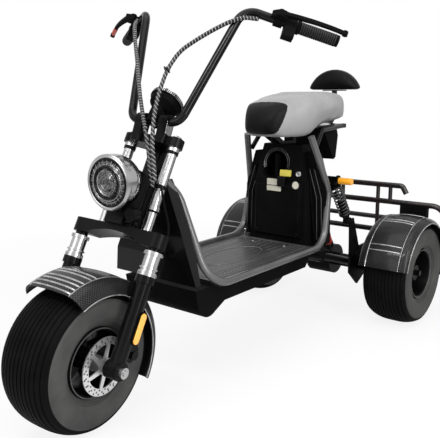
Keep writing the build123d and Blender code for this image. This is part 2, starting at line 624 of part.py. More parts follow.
# ---- leg shield, floor and battery -----------------------------------------------------
# horizontal sections of the leg shield, from the neck down: height above the footboard, front face
# and rear face from the neck, half width
SHIELD_SECTIONS = ((309, -14, -44, 36), (257, 2, -38, 72), (177, 10, -30, 112), (87, 16, -18, 150), (9, 6, -16, 168))
SHIELD_X = NECK_X
with BuildPart() as leg_shield:
    for rise, front, rear, half_width in SHIELD_SECTIONS:
        with BuildSketch(Plane.XY.offset(FLOOR_TOP + rise)):
            with Locations((SHIELD_X + (front + rear) / 2, 0)):
                Rectangle(front - rear, 2 * half_width)
    loft(ruled=True)
    add(loop.part, mode=Mode.SUBTRACT)
    add(mirror(loop.part, about=Plane.XZ, mode=Mode.PRIVATE), mode=Mode.SUBTRACT)
save(leg_shield.part, "leg_shield")

FLOOR_FRONT = NECK_X - 96
FLOOR_REAR = 375.0
PAN_REAR = 430.0
PAN_HALF = 150.0
PAN_DEPTH = 92.0
with BuildPart() as floor_pan:
    with BuildSketch(Plane.XZ.offset(-PAN_HALF)):
        with BuildLine():
            pan_top = FLOOR_TOP - 11
            pan_low = FLOOR_TOP - PAN_DEPTH
            Polyline((PAN_REAR - 70, pan_top), (SHIELD_X - 14, pan_top), (SHIELD_X - 24, pan_low + 28))
            ThreePointArc((SHIELD_X - 24, pan_low + 28), (SHIELD_X - 52, pan_low - 8),
                          (SHIELD_X - 100, pan_low - 4))
            Polyline((SHIELD_X - 100, pan_low - 4), (SHIELD_X - 150, pan_low + 20),
                     (PAN_REAR - 20, pan_low + 20), (PAN_REAR - 70, pan_top))
        make_face()
    extrude(amount=2 * PAN_HALF)
save(floor_pan.part, "floor_pan")

with BuildPart() as footboard:
    with Locations(((FLOOR_FRONT + FLOOR_REAR) / 2, 0, FLOOR_TOP - 5.5)):
        Box(FLOOR_FRONT - FLOOR_REAR, 2 * (FLOOR_HALF_WIDTH - TUBE - 0.5), 11)
save(footboard.part, "footboard")

# the battery case, from the floor up: height above the footboard, front face ahead of the floor's
# rear edge, rear face behind it, half width
BOX_SECTIONS = ((-11, 0, 84, 128), (235, -10, 88, 111), (BOX_TOP - FLOOR_TOP, -30, 92, 84))
BOX_HALF = 111.0
with BuildPart() as battery_box:
    for rise, ahead, behind, half_width in BOX_SECTIONS:
        with BuildSketch(Plane.XY.offset(FLOOR_TOP + rise)):
            with Locations((FLOOR_REAR + (ahead - behind) / 2, 0)):
                Rectangle(ahead + behind, 2 * half_width)
    loft(ruled=True)
    # a recess in the upper face with an arched top, where the hand reaches the carrying handle
    with BuildSketch(Plane.YZ.offset(FLOOR_REAR - 60)):
        with Locations((-18, FLOOR_TOP + 262)):
            SlotOverall(120, 44)
        with Locations((-18, FLOOR_TOP + 296)):
            Circle(44)
    extrude(amount=120, mode=Mode.SUBTRACT)
    with BuildSketch(Plane.YZ.offset(FLOOR_REAR - 60)):
        with Locations((-18, FLOOR_TOP + 290)):
            SlotOverall(90, 14, rotation=90)
    extrude(amount=42)
save(battery_box.part, "battery_box")

COVER_HALF = BOX_HALF - 6
with BuildPart() as battery_cover:
    with BuildSketch(Plane.XZ.offset(-COVER_HALF)):
        with BuildLine():
            Polyline((FLOOR_REAR - 2, FLOOR_TOP + 20), (FLOOR_REAR + 7, FLOOR_TOP + 24),
                     (FLOOR_REAR + 1, FLOOR_TOP + 226), (FLOOR_REAR - 14, FLOOR_TOP + 232), close=True)
        make_face()
    extrude(amount=2 * COVER_HALF)
    fillet(battery_cover.edges().filter_by(Axis.Z, 12).sort_by(Axis.X)[-2:], 5)
    add(battery_box.part, mode=Mode.SUBTRACT)
save(battery_cover.part, "battery_cover")

# the body's side covers close the space between the battery case and the frame loops
RIB_DEPTH = 8.0
with BuildPart() as side_cover:
    with BuildSketch(Plane.YZ.offset(LOOP_REAR - 52)):
        with BuildLine():
            Polyline((BOX_HALF + 22, FLOOR_TOP), (FLOOR_HALF_WIDTH - 2, FLOOR_TOP + 2),
                     (FLOOR_HALF_WIDTH - 6, (LOOP_LOW + LOOP_TOP) / 2), (SEAT_HALF_WIDTH, LOOP_TOP - 66),
                     (BOX_HALF - 16, LOOP_TOP - 60), close=True)
        make_face()
    extrude(amount=34)
    with BuildSketch(Plane.YZ.offset(LOOP_REAR - 18)):
        # two upright ribs
        for inset in (20, 40):
            with BuildLine():
                Polyline((FLOOR_HALF_WIDTH - inset, FLOOR_TOP + 14), (FLOOR_HALF_WIDTH - inset - 7, FLOOR_TOP + 14),
                         (SEAT_HALF_WIDTH - inset + 9, LOOP_TOP - 120), (SEAT_HALF_WIDTH - inset + 16, LOOP_TOP - 120),
                         close=True)
            make_face()
    extrude(amount=RIB_DEPTH)
    add(loop.part, mode=Mode.SUBTRACT)
    add(battery_box.part, mode=Mode.SUBTRACT)
    add(seat_frame.part, mode=Mode.SUBTRACT)
save(both_sides(side_cover.part), "side_covers")

# ---- seat ------------------------------------------------------------------------------
SEAT_FRONT = 514.0
SEAT_REAR = 98.0
NOSE_HALF = 78.0            # half width of the seat's nose
with BuildPart() as seat_cushion:
    with BuildSketch(Plane.XZ.offset(-SEAT_HALF_WIDTH)):
        with BuildLine():
            top = SEAT_HEIGHT
            nose = SEAT_FRONT
            Line((nose - 36, top - 146), (nose, top - 128))
            ThreePointArc((nose, top - 128), (nose - 10, top - 60), (nose - 60, top - 20))
            ThreePointArc((nose - 60, top - 20), (nose - 190, top - 12), (SEAT_REAR + 110, top))
            ThreePointArc((SEAT_REAR + 110, top), (SEAT_REAR + 36, top - 6), (SEAT_REAR, top - 44))
            Line((SEAT_REAR, top - 44), (SEAT_REAR + 4, top - 88))
            Polyline((SEAT_REAR + 4, top - 88), (SEAT_REAR + 124, top - 98), (SEAT_REAR + 204, top - 112),
                     (SEAT_REAR + 288, top - 148), (nose - 36, top - 146))
        make_face()
    extrude(amount=2 * SEAT_HALF_WIDTH)
    with BuildSketch(Plane.XY.offset(SEAT_HEIGHT - 160)):
        # plan: full width under the rider, drawn in towards the nose
        with BuildLine() as plan:
            Line((SEAT_REAR, 0), (SEAT_REAR, SEAT_HALF_WIDTH - 30))
            ThreePointArc((SEAT_REAR, SEAT_HALF_WIDTH - 30), (SEAT_REAR + 12, SEAT_HALF_WIDTH - 9),
                          (SEAT_REAR + 40, SEAT_HALF_WIDTH))
            Line((SEAT_REAR + 40, SEAT_HALF_WIDTH), (SEAT_REAR + 230, SEAT_HALF_WIDTH))
            ThreePointArc((SEAT_REAR + 230, SEAT_HALF_WIDTH), (SEAT_FRONT - 100, (SEAT_HALF_WIDTH + NOSE_HALF) / 2 + 14),
                          (SEAT_FRONT - 24, NOSE_HALF + 2))
            ThreePointArc((SEAT_FRONT - 24, NOSE_HALF + 2), (SEAT_FRONT - 5, NOSE_HALF - 12), (SEAT_FRONT, 0))
            mirror(about=Plane.XZ)
        make_face()
    extrude(amount=200, mode=Mode.INTERSECT)
save(seat_cushion.part, "seat_cushion")

with BuildPart() as backrest_pad:
    with BuildSketch(Plane.YZ.offset(PAD_X - 32)):
        with BuildLine():
            ThreePointArc((-120, PAD_LOW), (0, PAD_LOW + 84), (120, PAD_LOW))
            Line((120, PAD_LOW), (-120, PAD_LOW))
        make_face()
    extrude(amount=64)
    fillet(backrest_pad.faces().filter_by(Axis.X).edges().filter_by(GeomType.CIRCLE), 20)
save(backrest_pad.part, "backrest_pad")

PLATE_TOP = SEAT_UNDER - 16.6
PLATE_HALF = 90.0
with BuildPart() as plate_bracket:
    with BuildSketch(Plane.XZ.offset(-PLATE_HALF)):
        with BuildLine():
            Polyline((212, PLATE_TOP), (96, PLATE_TOP), (46, PLATE_TOP - 122), (58, PLATE_TOP - 130),
                     (130, PLATE_TOP - 72), close=True)
        make_face()
    extrude(amount=2 * PLATE_HALF)
    # drawn in towards the bottom
    with BuildSketch(Plane.YZ.offset(0)):
        for side in (-1, 1):
            with BuildLine():
                Polyline((side * PLATE_HALF, PLATE_TOP - 30), (side * (PLATE_HALF - 34), PLATE_TOP - 140),
                         (side * (PLATE_HALF + 30), PLATE_TOP - 140), (side * (PLATE_HALF + 30), PLATE_TOP - 30), close=True)
            make_face()
    extrude(amount=300, mode=Mode.SUBTRACT)
save(plate_bracket.part, "plate_bracket")

LAMP_HALF = 44.0
with BuildPart() as tail_lamp:
    # one lamp body across the bracket's rear face
    with BuildSketch(Plane.XZ.offset(-LAMP_HALF)):
        with BuildLine():
            Polyline((96 - 34.3, PLATE_TOP - 82), (96 - 46.8, PLATE_TOP - 112.4), (32, PLATE_TOP - 112),
                     (38, PLATE_TOP - 86), close=True)
        make_face()
    extrude(amount=2 * LAMP_HALF)
    add(plate_bracket.part, mode=Mode.SUBTRACT)
    fillet(tail_lamp.faces().sort_by(Axis.X)[0].edges(), 4)
save(tail_lamp.part, "tail_lamp")

# ---- swing arm, axle and motor ---------------------------------------------------------
PIVOT = (322.0, 300.0)
ARM_Y = 150.0
with BuildPart() as swing_arm:
    for side in (-1, 1):
        add(rod([(PIVOT[0], side * ARM_Y, PIVOT[1]), (8, side * ARM_Y, WHEEL_RADIUS)], None, 15))
    with Locations(crosswise(0, WHEEL_RADIUS)):
        Cylinder(27, 400, mode=Mode.SUBTRACT)
    with Locations(crosswise(*PIVOT)):
        Cylinder(17, 2 * ARM_Y + 50)
    with Locations(crosswise(205, 263)):
        Cylinder(13, 2 * ARM_Y)
save(swing_arm.part, "swing_arm")

HOUSING_HALF = HALF_TRACK - 52.0 - 4
# plates on the axle housing that carry the shocks, the rack and a low guard corner
PLATE_Y = 184.0
with BuildPart() as axle_plate:
    with BuildSketch(crosswise(0, 0, PLATE_Y + 4)):
        with BuildLine():
            Polyline((133, 193), (62, 132), (-6, 168), (-44, 204), (-84, 300), (-60, 330), (-20, 292), (60, 290),
                     (112, 414), (140, 400), (134, 300), close=True)
        make_face()
    extrude(amount=8)

with BuildPart() as axle_housing:
    with Locations(crosswise(0, WHEEL_RADIUS)):
        Cylinder(27, 2 * HOUSING_HALF)
        Cylinder(62, 110)
        Cylinder(REAR_SPINDLE, 2 * (HALF_TRACK + 70))
    add(both_sides(axle_plate.part))
save(axle_housing.part, "axle_housing")

with BuildPart() as motor:
    with Locations(crosswise(110, WHEEL_RADIUS + 67, -20)):
        Cylinder(60, 150)
    with Locations(crosswise(56, WHEEL_RADIUS + 34, -20)):
        Box(70, 50, 90)
    with Locations(crosswise(0, WHEEL_RADIUS)):
        Cylinder(62, 400, mode=Mode.SUBTRACT)
save(motor.part, "motor")

# ---- shocks ----------------------------------------------------------------------------
SHOCK_TOP = (220.0, 152.0, 566.0)
SHOCK_LOW = (126.0, 166.7, 402.0)
SHOCK_ROD = 9.0
SPRING_RADIUS = 24.0
with BuildPart() as shock:
    span = Vector(*SHOCK_LOW) - Vector(*SHOCK_TOP)
    add(rod([SHOCK_TOP, SHOCK_LOW], None, SHOCK_ROD))
    # the spring's outline, its two seats, and the damper's body below it
    for start, end, radius in ((0.06, 0.10, 21), (0.10, 0.78, SPRING_RADIUS), (0.78, 0.82, 21), (0.82, 0.92, 14)):
        with Locations(Plane(origin=Vector(*SHOCK_TOP) + span * ((start + end) / 2), z_dir=span)):
            Cylinder(radius, span.length * (end - start))
    for eye in (SHOCK_TOP, SHOCK_LOW):
        with Locations(crosswise(eye[0], eye[2], eye[1])):
            Cylinder(15, 26)
save(both_sides(shock.part), "shocks")

with BuildPart() as shock_mount:
    with Locations(crosswise(SHOCK_TOP[0], SHOCK_TOP[2] + 12)):
        Cylinder(10, 2 * SHOCK_TOP[1] + 40)
        for side in (-1, 1):
            with Locations((0, 0, side * (SHOCK_TOP[1] + 18))):
                Cylinder(15, 8)
    for side in (-1, 1):
        with Locations((SHOCK_TOP[0] + 36, side * 84, SHOCK_TOP[2] + 12)):
            Box(80, 16, 40)
    add(battery_box.part, mode=Mode.SUBTRACT)
    add(shock.part, mode=Mode.SUBTRACT)
    add(mirror(shock.part, about=Plane.XZ, mode=Mode.PRIVATE), mode=Mode.SUBTRACT)
save(shock_mount.part, "shock_mount")

# ---- fenders, rack, lamps --------------------------------------------------------------
REAR_CROWN = WHEEL_RADIUS + 20
REAR_FENDER_WIDTH = TYRE_WIDTH + 16
for name, side in SIDES:
    arch = fender_sheet(REAR_FENDER_WIDTH, REAR_CROWN, 24, -104, 76)
    save(wheel_at(arch, side), f"rear_fender_{name}")

RAIL = 11.0
RAIL_X = -70.0
RAIL_Z = WHEEL_RADIUS + REAR_CROWN + 34.0       # the rail clears the fenders' crowns
RAIL_ENDS_Z = RAIL_Z - 160.0
FENCE_Z = RAIL_Z + 68.0
DECK_Z = RAIL_Z - 122.0
POST_Y = 196.2
RAIL_OUT = HALF_TRACK + REAR_FENDER_WIDTH / 2 + 26
with BuildPart() as rack:
    add(rod([(RAIL_X - 40, -RAIL_OUT, RAIL_ENDS_Z), (RAIL_X - 10, -RAIL_OUT, RAIL_Z),
             (RAIL_X - 10, RAIL_OUT, RAIL_Z), (RAIL_X - 40, RAIL_OUT, RAIL_ENDS_Z)], [52, 52], RAIL))
    add(rod([(RAIL_X - 10, -318, FENCE_Z - 30), (RAIL_X - 10, -300, FENCE_Z), (RAIL_X - 10, 300, FENCE_Z),
             (RAIL_X - 10, 318, FENCE_Z - 30)], [16, 16], RAIL))
    for y in (-250, -POST_Y, -35, 35, POST_Y, 250):
        add(rod([(RAIL_X - 10, y, FENCE_Z), (RAIL_X - 10, y, RAIL_Z)], None, 8))
    for y in (-POST_Y, POST_Y):
        add(rod([(RAIL_X - 10, y, RAIL_Z), (RAIL_X - 10, y, DECK_Z - 40)], None, 8))
    add(rod([(RAIL_X - 10, -230, DECK_Z), (-RACK_BEHIND + RAIL, -230, DECK_Z), (-RACK_BEHIND + RAIL, 230, DECK_Z),
             (RAIL_X - 10, 230, DECK_Z)], [40, 40], RAIL))
    add(rod([(RAIL_X - 10, -230, DECK_Z), (RAIL_X - 10, 230, DECK_Z)], None, RAIL))
save(rack.part, "cargo_rack")

fender_mounts = []
for side in (-1, 1):
    with BuildPart() as mount_block:
        with Locations((RAIL_X - 10, side * HALF_TRACK, RAIL_Z - 26)):
            Box(26, 110, 50)
        with Locations(crosswise(0, WHEEL_RADIUS)):
            Cylinder(REAR_CROWN, 1000, mode=Mode.SUBTRACT)
        add(rack.part, mode=Mode.SUBTRACT)
        with Locations((RAIL_X - 10, side * HALF_TRACK, RAIL_Z + 30)):
            Box(60, 200, 60, mode=Mode.SUBTRACT)
    fender_mounts.append(mount_block.part)
save(Compound(children=fender_mounts), "fender_mounts")

with BuildPart() as signal:
    with Locations(crosswise(216, 572, SHOCK_TOP[1] + 48.3)):
        Cylinder(13, 52)
save(both_sides(signal.part), "turn_signals")
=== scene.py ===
# %% [markdown]
# # A fat-tyre electric trike
# The vehicle stands on three balloon tyres: one in a raked chopper fork and two under
# wide fenders. The frame, wheels and controls already exist as solid parts, and this
# lesson gives them their finishes and adds what is too fine or too soft for solids:
# tread grooves, woven fender skins, coil springs, a wrap around cables, a stuffed seat.
# Everything is in metres. X points forward, Y to the rider's left, Z up from the floor.

# %% Load the solid parts
import math

import bmesh
import bpy
from mathutils import Matrix, Vector
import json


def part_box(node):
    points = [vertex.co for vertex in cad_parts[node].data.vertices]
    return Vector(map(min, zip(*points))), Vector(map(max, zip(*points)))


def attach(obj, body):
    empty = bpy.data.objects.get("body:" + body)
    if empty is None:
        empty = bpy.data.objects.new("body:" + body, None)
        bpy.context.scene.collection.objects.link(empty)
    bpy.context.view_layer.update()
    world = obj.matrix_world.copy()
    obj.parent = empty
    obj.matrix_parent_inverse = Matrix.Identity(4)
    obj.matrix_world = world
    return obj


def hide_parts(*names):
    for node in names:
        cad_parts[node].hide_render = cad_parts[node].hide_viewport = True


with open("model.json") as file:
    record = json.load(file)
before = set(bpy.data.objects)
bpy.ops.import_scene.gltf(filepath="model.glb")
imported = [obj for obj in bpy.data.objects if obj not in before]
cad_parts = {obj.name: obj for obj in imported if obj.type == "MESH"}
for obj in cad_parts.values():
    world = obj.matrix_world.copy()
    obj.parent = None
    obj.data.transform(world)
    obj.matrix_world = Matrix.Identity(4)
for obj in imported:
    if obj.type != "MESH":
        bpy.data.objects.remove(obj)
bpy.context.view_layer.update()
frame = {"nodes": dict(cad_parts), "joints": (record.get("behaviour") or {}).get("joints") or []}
nodes = frame["nodes"]
joints = {joint["name"]: joint for joint in frame["joints"]}


def shortly(vector):
    """A vector's numbers, rounded for print."""
    return [round(number, 3) for number in vector]


# %% [markdown]
# Most pieces of the front end lean with the fork and are turned a little to the left.
# Rather than fight that tilt, each of them is described in the fork's own directions:
# ahead, left and up along the fork, from the middle of the front wheel. The joints of
# the solid model give those directions exactly, so nothing has to be measured by hand.

# %% The fork's own directions
fork_up = Vector(joints["steering"]["axis"])
fork_left = Vector(joints["front_wheel_spin"]["axis"])
fork_ahead = fork_left.cross(fork_up)
front_hub = Vector(joints["front_wheel_spin"]["pos_m"])
rear_hubs = {side: Vector(joints[f"rear_{side}_spin"]["pos_m"]) for side in ("left", "right")}
FORK = Matrix((fork_ahead, fork_left, fork_up)).transposed().to_4x4()
FORK.translation = front_hub


def on_fork(ahead, left, up):
    """Place in millimetres along the fork's directions, as a point of the vehicle."""
    return FORK @ (Vector((ahead, left, up)) / 1000)


def on_frame(x, y, z):
    """Place in millimetres from the rear axle's middle at floor level, as a point of the vehicle."""
    axle = rear_hubs["left"]
    return Vector((axle.x + x / 1000, y / 1000, z / 1000))


wheel_radius = rear_hubs["left"].z
tyre_low, tyre_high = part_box("rear_tyre_left")
tyre_width = tyre_high.y - tyre_low.y
print("wheel radius", round(wheel_radius, 3), "tyre width", round(tyre_width, 3))

# %% [markdown]
# ## Finishes
# Every finish starts from the same recipe: a base colour that drifts a little, a
# roughness that drifts with it, and a fine bump. A painted tube and a cast lever differ
# only in the numbers, so one function makes them and the numbers say what they are.
# Noise is read in object space, because the solid parts have no unwrapped surface.

# %% A recipe for plain finishes
def rgb(value, tint=(1.0, 1.0, 1.0)):
    return (value * tint[0], value * tint[1], value * tint[2], 1.0)


def new_finish(name):
    """An empty material with its shader, ready for nodes."""
    material = bpy.data.materials.new(name)
    material.use_nodes = True
    tree = material.node_tree
    shader = tree.nodes["Principled BSDF"]
    return material, tree, shader


def drift(tree, scale, detail=3.0):
    """Noise in object space: a slow change over the surface."""
    place = tree.nodes.new("ShaderNodeTexCoord")
    cloud = tree.nodes.new("ShaderNodeTexNoise")
    cloud.inputs["Scale"].default_value = scale
    cloud.inputs["Detail"].default_value = detail
    tree.links.new(place.outputs["Object"], cloud.inputs["Vector"])
    return cloud.outputs["Fac"]


def spread(tree, factor, low, high, start=0.3, end=0.7):
    """Turn a factor that runs from start to end into the range low..high."""
    change = tree.nodes.new("ShaderNodeMapRange")
    for socket, value in (("From Min", start), ("From Max", end), ("To Min", low), ("To Max", high)):
        change.inputs[socket].default_value = value
    tree.links.new(factor, change.inputs["Value"])
    return change.outputs["Result"]


def reckon(tree, operation, *values):
    """A Math node, fed with sockets or plain numbers."""
    node = tree.nodes.new("ShaderNodeMath")
    node.operation = operation
    for socket, value in zip(node.inputs, values):
        if isinstance(value, (int, float)):
            socket.default_value = value
        else:
            tree.links.new(value, socket)
    return node.outputs[0]


def two_colours(tree, factor, first, second):
    """Mix two colours by a factor and give the result."""
    blend = tree.nodes.new("ShaderNodeMix")
    blend.data_type = "RGBA"
    blend.inputs[6].default_value = first
    blend.inputs[7].default_value = second
    tree.links.new(factor, blend.inputs[0])
    return blend.outputs[2]


def raise_by(tree, shader, height, distance, strength=1.0):
    """Bump the shader's surface by a height that runs from 0 to 1."""
    bump = tree.nodes.new("ShaderNodeBump")
    bump.inputs["Distance"].default_value = distance
    bump.inputs["Strength"].default_value = strength
    tree.links.new(height, bump.inputs["Height"])
    if shader.inputs["Normal"].is_linked:
        earlier = shader.inputs["Normal"].links[0].from_socket
        tree.links.new(earlier, bump.inputs["Normal"])
    tree.links.new(bump.outputs["Normal"], shader.inputs["Normal"])


def plain_finish(name, colour, other, rough, metal=0.0, coat=0.0, grain=400.0, bump=0.00004,
                 patch=9.0, mirror=0.5):
    """A finish whose colour and roughness drift between two values, with a fine grain."""
    material, tree, shader = new_finish(name)
    cloud = drift(tree, patch)
    colours = two_colours(tree, spread(tree, cloud, 0, 1), colour, other)
    tree.links.new(colours, shader.inputs["Base Color"])
    tree.links.new(spread(tree, cloud, rough[0], rough[1]), shader.inputs["Roughness"])
    shader.inputs["Metallic"].default_value = metal
    shader.inputs["Specular IOR Level"].default_value = mirror
    shader.inputs["Coat Weight"].default_value = coat
    shader.inputs["Coat Roughness"].default_value = 0.06
    raise_by(tree, shader, drift(tree, grain, 2.0), bump)
    return material


print("recipe ready")

# %% [markdown]
# Blacks are the hard part of a black vehicle in a white room: a surface that mirrors even
# a few hundredths of white walls already looks grey. So the blacks get very dark colours
# and a low `mirror`, and the lamps alone draw their highlights.

# %% Paint, plastic and metal
black_alloy = plain_finish("black_alloy", rgb(0.002), rgb(0.005), (0.24, 0.36), coat=0.03,
                           grain=900, mirror=0.06)
black_gloss = plain_finish("black_gloss", rgb(0.002), rgb(0.004), (0.12, 0.20), coat=0.08,
                           grain=60, bump=0.00002, mirror=0.12)
black_plastic = plain_finish("black_plastic", rgb(0.0025), rgb(0.005), (0.46, 0.62),
                             grain=1400, bump=0.00006, mirror=0.02)
frame_grey = plain_finish("frame_grey", rgb(0.06), rgb(0.10), (0.24, 0.36), metal=0.35,
                          coat=0.3, grain=900, bump=0.00003, mirror=0.4)
rack_paint = plain_finish("rack_paint", rgb(0.012, (1.5, 0.8, 0.8)), rgb(0.006), (0.18, 0.30),
                          coat=0.12, grain=500, bump=0.00003, mirror=0.35)
bright_steel = plain_finish("bright_steel", rgb(0.34), rgb(0.44), (0.20, 0.28), metal=1.0,
                            grain=1200, bump=0.000004)
chrome = plain_finish("chrome", rgb(0.34), rgb(0.42), (0.14, 0.20), metal=1.0, grain=40,
                      bump=0.000002)
disc_steel = plain_finish("disc_steel", rgb(0.52), rgb(0.68), (0.28, 0.40), metal=0.85,
                          grain=1500)
print("plain finishes:", len(bpy.data.materials))

# %% [markdown]
# Lenses are coloured plastic with a bright skin. A little of the light passes into them,
# which keeps amber and red lively even where no lamp shines on them directly.

# %% Lenses and clear covers
def lens_finish(name, colour, depth, ribs=240.0):
    material, tree, shader = new_finish(name)
    place = tree.nodes.new("ShaderNodeTexCoord")
    rows = tree.nodes.new("ShaderNodeTexWave")
    rows.inputs["Scale"].default_value = ribs
    tree.links.new(place.outputs["Object"], rows.inputs["Vector"])
    colours = two_colours(tree, rows.outputs["Fac"], colour, depth)
    tree.links.new(colours, shader.inputs["Base Color"])
    shader.inputs["Roughness"].default_value = 0.16
    shader.inputs["Coat Weight"].default_value = 0.9
    shader.inputs["Subsurface Weight"].default_value = 0.15
    shader.inputs["Subsurface Radius"].default_value = (0.01, 0.006, 0.003)
    raise_by(tree, shader, rows.outputs["Fac"], 0.0003, 0.5)
    return material


amber = lens_finish("amber_lens", (1.0, 0.50, 0.045, 1), (0.93, 0.36, 0.02, 1))
red = lens_finish("red_lens", (0.42, 0.02, 0.012, 1), (0.25, 0.010, 0.008, 1))


def clear_finish(name):
    material, tree, shader = new_finish(name)
    shader.inputs["Base Color"].default_value = (0.95, 0.97, 1.0, 1)
    shader.inputs["Transmission Weight"].default_value = 1.0
    shader.inputs["IOR"].default_value = 1.25
    tree.links.new(spread(tree, drift(tree, 30), 0.01, 0.05), shader.inputs["Roughness"])
    return material


clear = clear_finish("clear_cover")

# %% [markdown]
# ## Dressing the solid parts
# The solid parts keep their shape. Here each one only gets its finish, from a table that
# reads like a parts list.

# %% Finishes for the solid parts
# the tyres, fenders, lens, shocks, seat and pad are made again further down, finer than their
# solids, so what they wear here is only a base coat
dress = {
    black_alloy: ("fork_legs", "lower_crown", "upper_clamp", "front_rim", "rear_rim_left",
                  "rear_rim_right", "brake_caliper", "headlight_bracket", "head_tube",
                  "swing_arm", "axle_housing", "shock_mount", "motor", "horn"),
    black_gloss: ("leg_shield", "handlebar", "seat_frame"),
    black_plastic: ("fender_stays", "switch_pods", "speedometer", "floor_pan", "battery_box",
                    "battery_cover", "plate_bracket", "fender_mounts", "grips",
                    "brake_levers", "bar_cables", "brake_hose", "footboard", "seat_cushion",
                    "backrest_pad", "shocks", "side_covers", "front_tyre", "rear_tyre_left",
                    "rear_tyre_right", "front_fender", "rear_fender_left",
                    "rear_fender_right"),
    red: ("tail_lamp",),
    frame_grey: ("frame_loop_left", "frame_loop_right"),
    rack_paint: ("cargo_rack",),
    bright_steel: ("front_axle", "fork_sleeves", "fork_tubes"),
    disc_steel: ("brake_disc",),
    chrome: ("headlight_shell",),
    amber: ("side_reflectors", "turn_signals"),
    clear: ("headlight_lens",),
}


def dress_node(name, material):
    data = nodes[name].data
    data.materials.clear()
    data.materials.append(material)


for finish, members in dress.items():
    for member in members:
        if member in nodes:
            dress_node(member, finish)
undressed = [name for name in nodes if not any(name in group for group in dress.values())]
print("dressed:", len(nodes) - len(undressed), "left:", undressed)

# %% [markdown]
# ## Four ways to make a piece
# Almost everything on a vehicle is turned on a lathe, cut from plate, bent from tube or
# wound from wire. Each of those becomes one function here: `turned`, `plate`, `tube` and
# `coil`, which is a tube along a helix. All of them build their mesh point by point, so a
# piece has exactly the faces it needs. Their meshes go to `finish_piece`, which rounds the
# shading, hangs the piece on the body it moves with and gives it its finish.

# %% Put a mesh on a body
def finish_piece(name, mesh, finish, body, sharp=32):
    """Make an object of the mesh, dress it, smooth it up to an angle and let it ride."""
    for one in finish if isinstance(finish, (list, tuple)) else (finish,):
        mesh.materials.append(one)
    mesh.polygons.foreach_set("use_smooth", [True] * len(mesh.polygons))
    mesh.set_sharp_from_angle(angle=math.radians(sharp))
    piece = bpy.data.objects.new(name, mesh)
    bpy.context.scene.collection.objects.link(piece)
    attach(piece, body)
    return piece


def bevelled(piece, width, segments=2):
    """Round the edges of a piece by a width in millimetres."""
    rounding = piece.modifiers.new("edges", "BEVEL")
    rounding.width = width / 1000
    rounding.segments = segments
    rounding.limit_method = "ANGLE"
    rounding.angle_limit = math.radians(40)
    rounding.harden_normals = True


def axes(origin, up, ahead=(1, 0, 0)):
    """A place as a matrix: Z along up, X as near to ahead as it can be."""
    up = Vector(up).normalized()
    left = up.cross(Vector(ahead)).normalized()
    matrix = Matrix((left.cross(up), left, up)).transposed().to_4x4()
    matrix.translation = Vector(origin)
    return matrix


def joined(meshes):
    """Several meshes as one, which is how a row of equal bolts stays one piece."""
    work = bmesh.new()
    for mesh in meshes:
        work.from_mesh(mesh)
        bpy.data.meshes.remove(mesh)
    whole = bpy.data.meshes.new("joined")
    work.to_mesh(whole)
    work.free()
    return whole


# %% [markdown]
# A turned piece is a profile spun around an axis. The profile is a list of radius and
# height in millimetres; where it touches radius 0 the rings close to a point. A tube is
# the same idea along a path: a ring of points at each station, turned as little as
# possible from one station to the next, so that it doesn't twist.

# %% Turned, tube and plate meshes
def circle_points(place, radius, steps, height=0.0):
    """Points in metres around a circle; radius, and height above the place, in millimetres."""
    points = []
    for k in range(steps):
        angle = 2 * math.pi * k / steps
        points.append(place @ (Vector((radius * math.cos(angle), radius * math.sin(angle), height)) / 1000))
    return points


def mesh_of(work, name):
    """Close a bmesh: all faces look outward, and the result is an ordinary mesh."""
    bmesh.ops.recalc_face_normals(work, faces=work.faces)
    mesh = bpy.data.meshes.new(name)
    work.to_mesh(mesh)
    work.free()
    return mesh


def turned(profile, place, segments=64, closed=False):
    """Spin a profile of (radius, height) millimetres about the Z axis of a place."""
    work = bmesh.new()
    rings = []
    for radius, height in profile:
        steps = 1 if radius < 1e-6 else segments
        rings.append([work.verts.new(point) for point in circle_points(place, radius, steps, height)])
    pairs = list(zip(rings, rings[1:]))
    if closed:
        pairs.append((rings[-1], rings[0]))
    for low, high in pairs:
        for i in range(segments):
            j = (i + 1) % segments
            if len(low) == 1 and len(high) > 1:
                work.faces.new((low[0], high[j], high[i]))
            elif len(high) == 1 and len(low) > 1:
                work.faces.new((low[i], low[j], high[0]))
            elif len(low) > 1:
                work.faces.new((low[i], low[j], high[j], high[i]))
    return mesh_of(work, "turned")


def tube(points, radius, sides=12, loop=False):
    """A round bar through points in metres; the radius is in millimetres, one or one a point."""
    points = [Vector(point) for point in points]
    count = len(points)
    sizes = radius if isinstance(radius, (list, tuple)) else [radius] * count
    work = bmesh.new()
    rings = []
    side = None
    for k, point in enumerate(points):
        before = points[k - 1] if (k or loop) else point
        after = points[(k + 1) % count] if (k < count - 1 or loop) else point
        way = (after - before).normalized()
        if side is None:
            side = way.orthogonal().normalized()
        side = (side - way * side.dot(way)).normalized()
        up = way.cross(side)
        ring = []
        for i in range(sides):
            angle = 2 * math.pi * i / sides
            out = side * math.cos(angle) + up * math.sin(angle)
            ring.append(work.verts.new(point + out * sizes[k] / 1000))
        rings.append(ring)
    pairs = list(zip(rings, rings[1:])) + ([(rings[-1], rings[0])] if loop else [])
    for low, high in pairs:
        for i in range(sides):
            j = (i + 1) % sides
            work.faces.new((low[i], low[j], high[j], high[i]))
    if not loop:
        work.faces.new(list(reversed(rings[0])))
        work.faces.new(rings[-1])
    return mesh_of(work, "tube")


def plate(outline, thick, place):
    """A plate cut to an outline in millimetres, from the place's XY plane up by its thickness."""
    work = bmesh.new()
    low = [work.verts.new(place @ Vector((x / 1000, y / 1000, 0))) for x, y in outline]
    high = [work.verts.new(place @ Vector((x / 1000, y / 1000, thick / 1000))) for x, y in outline]
    work.faces.new(list(reversed(low)))
    work.faces.new(high)
    for i in range(len(outline)):
        j = (i + 1) % len(outline)
        work.faces.new((low[i], low[j], high[j], high[i]))
    return mesh_of(work, "plate")


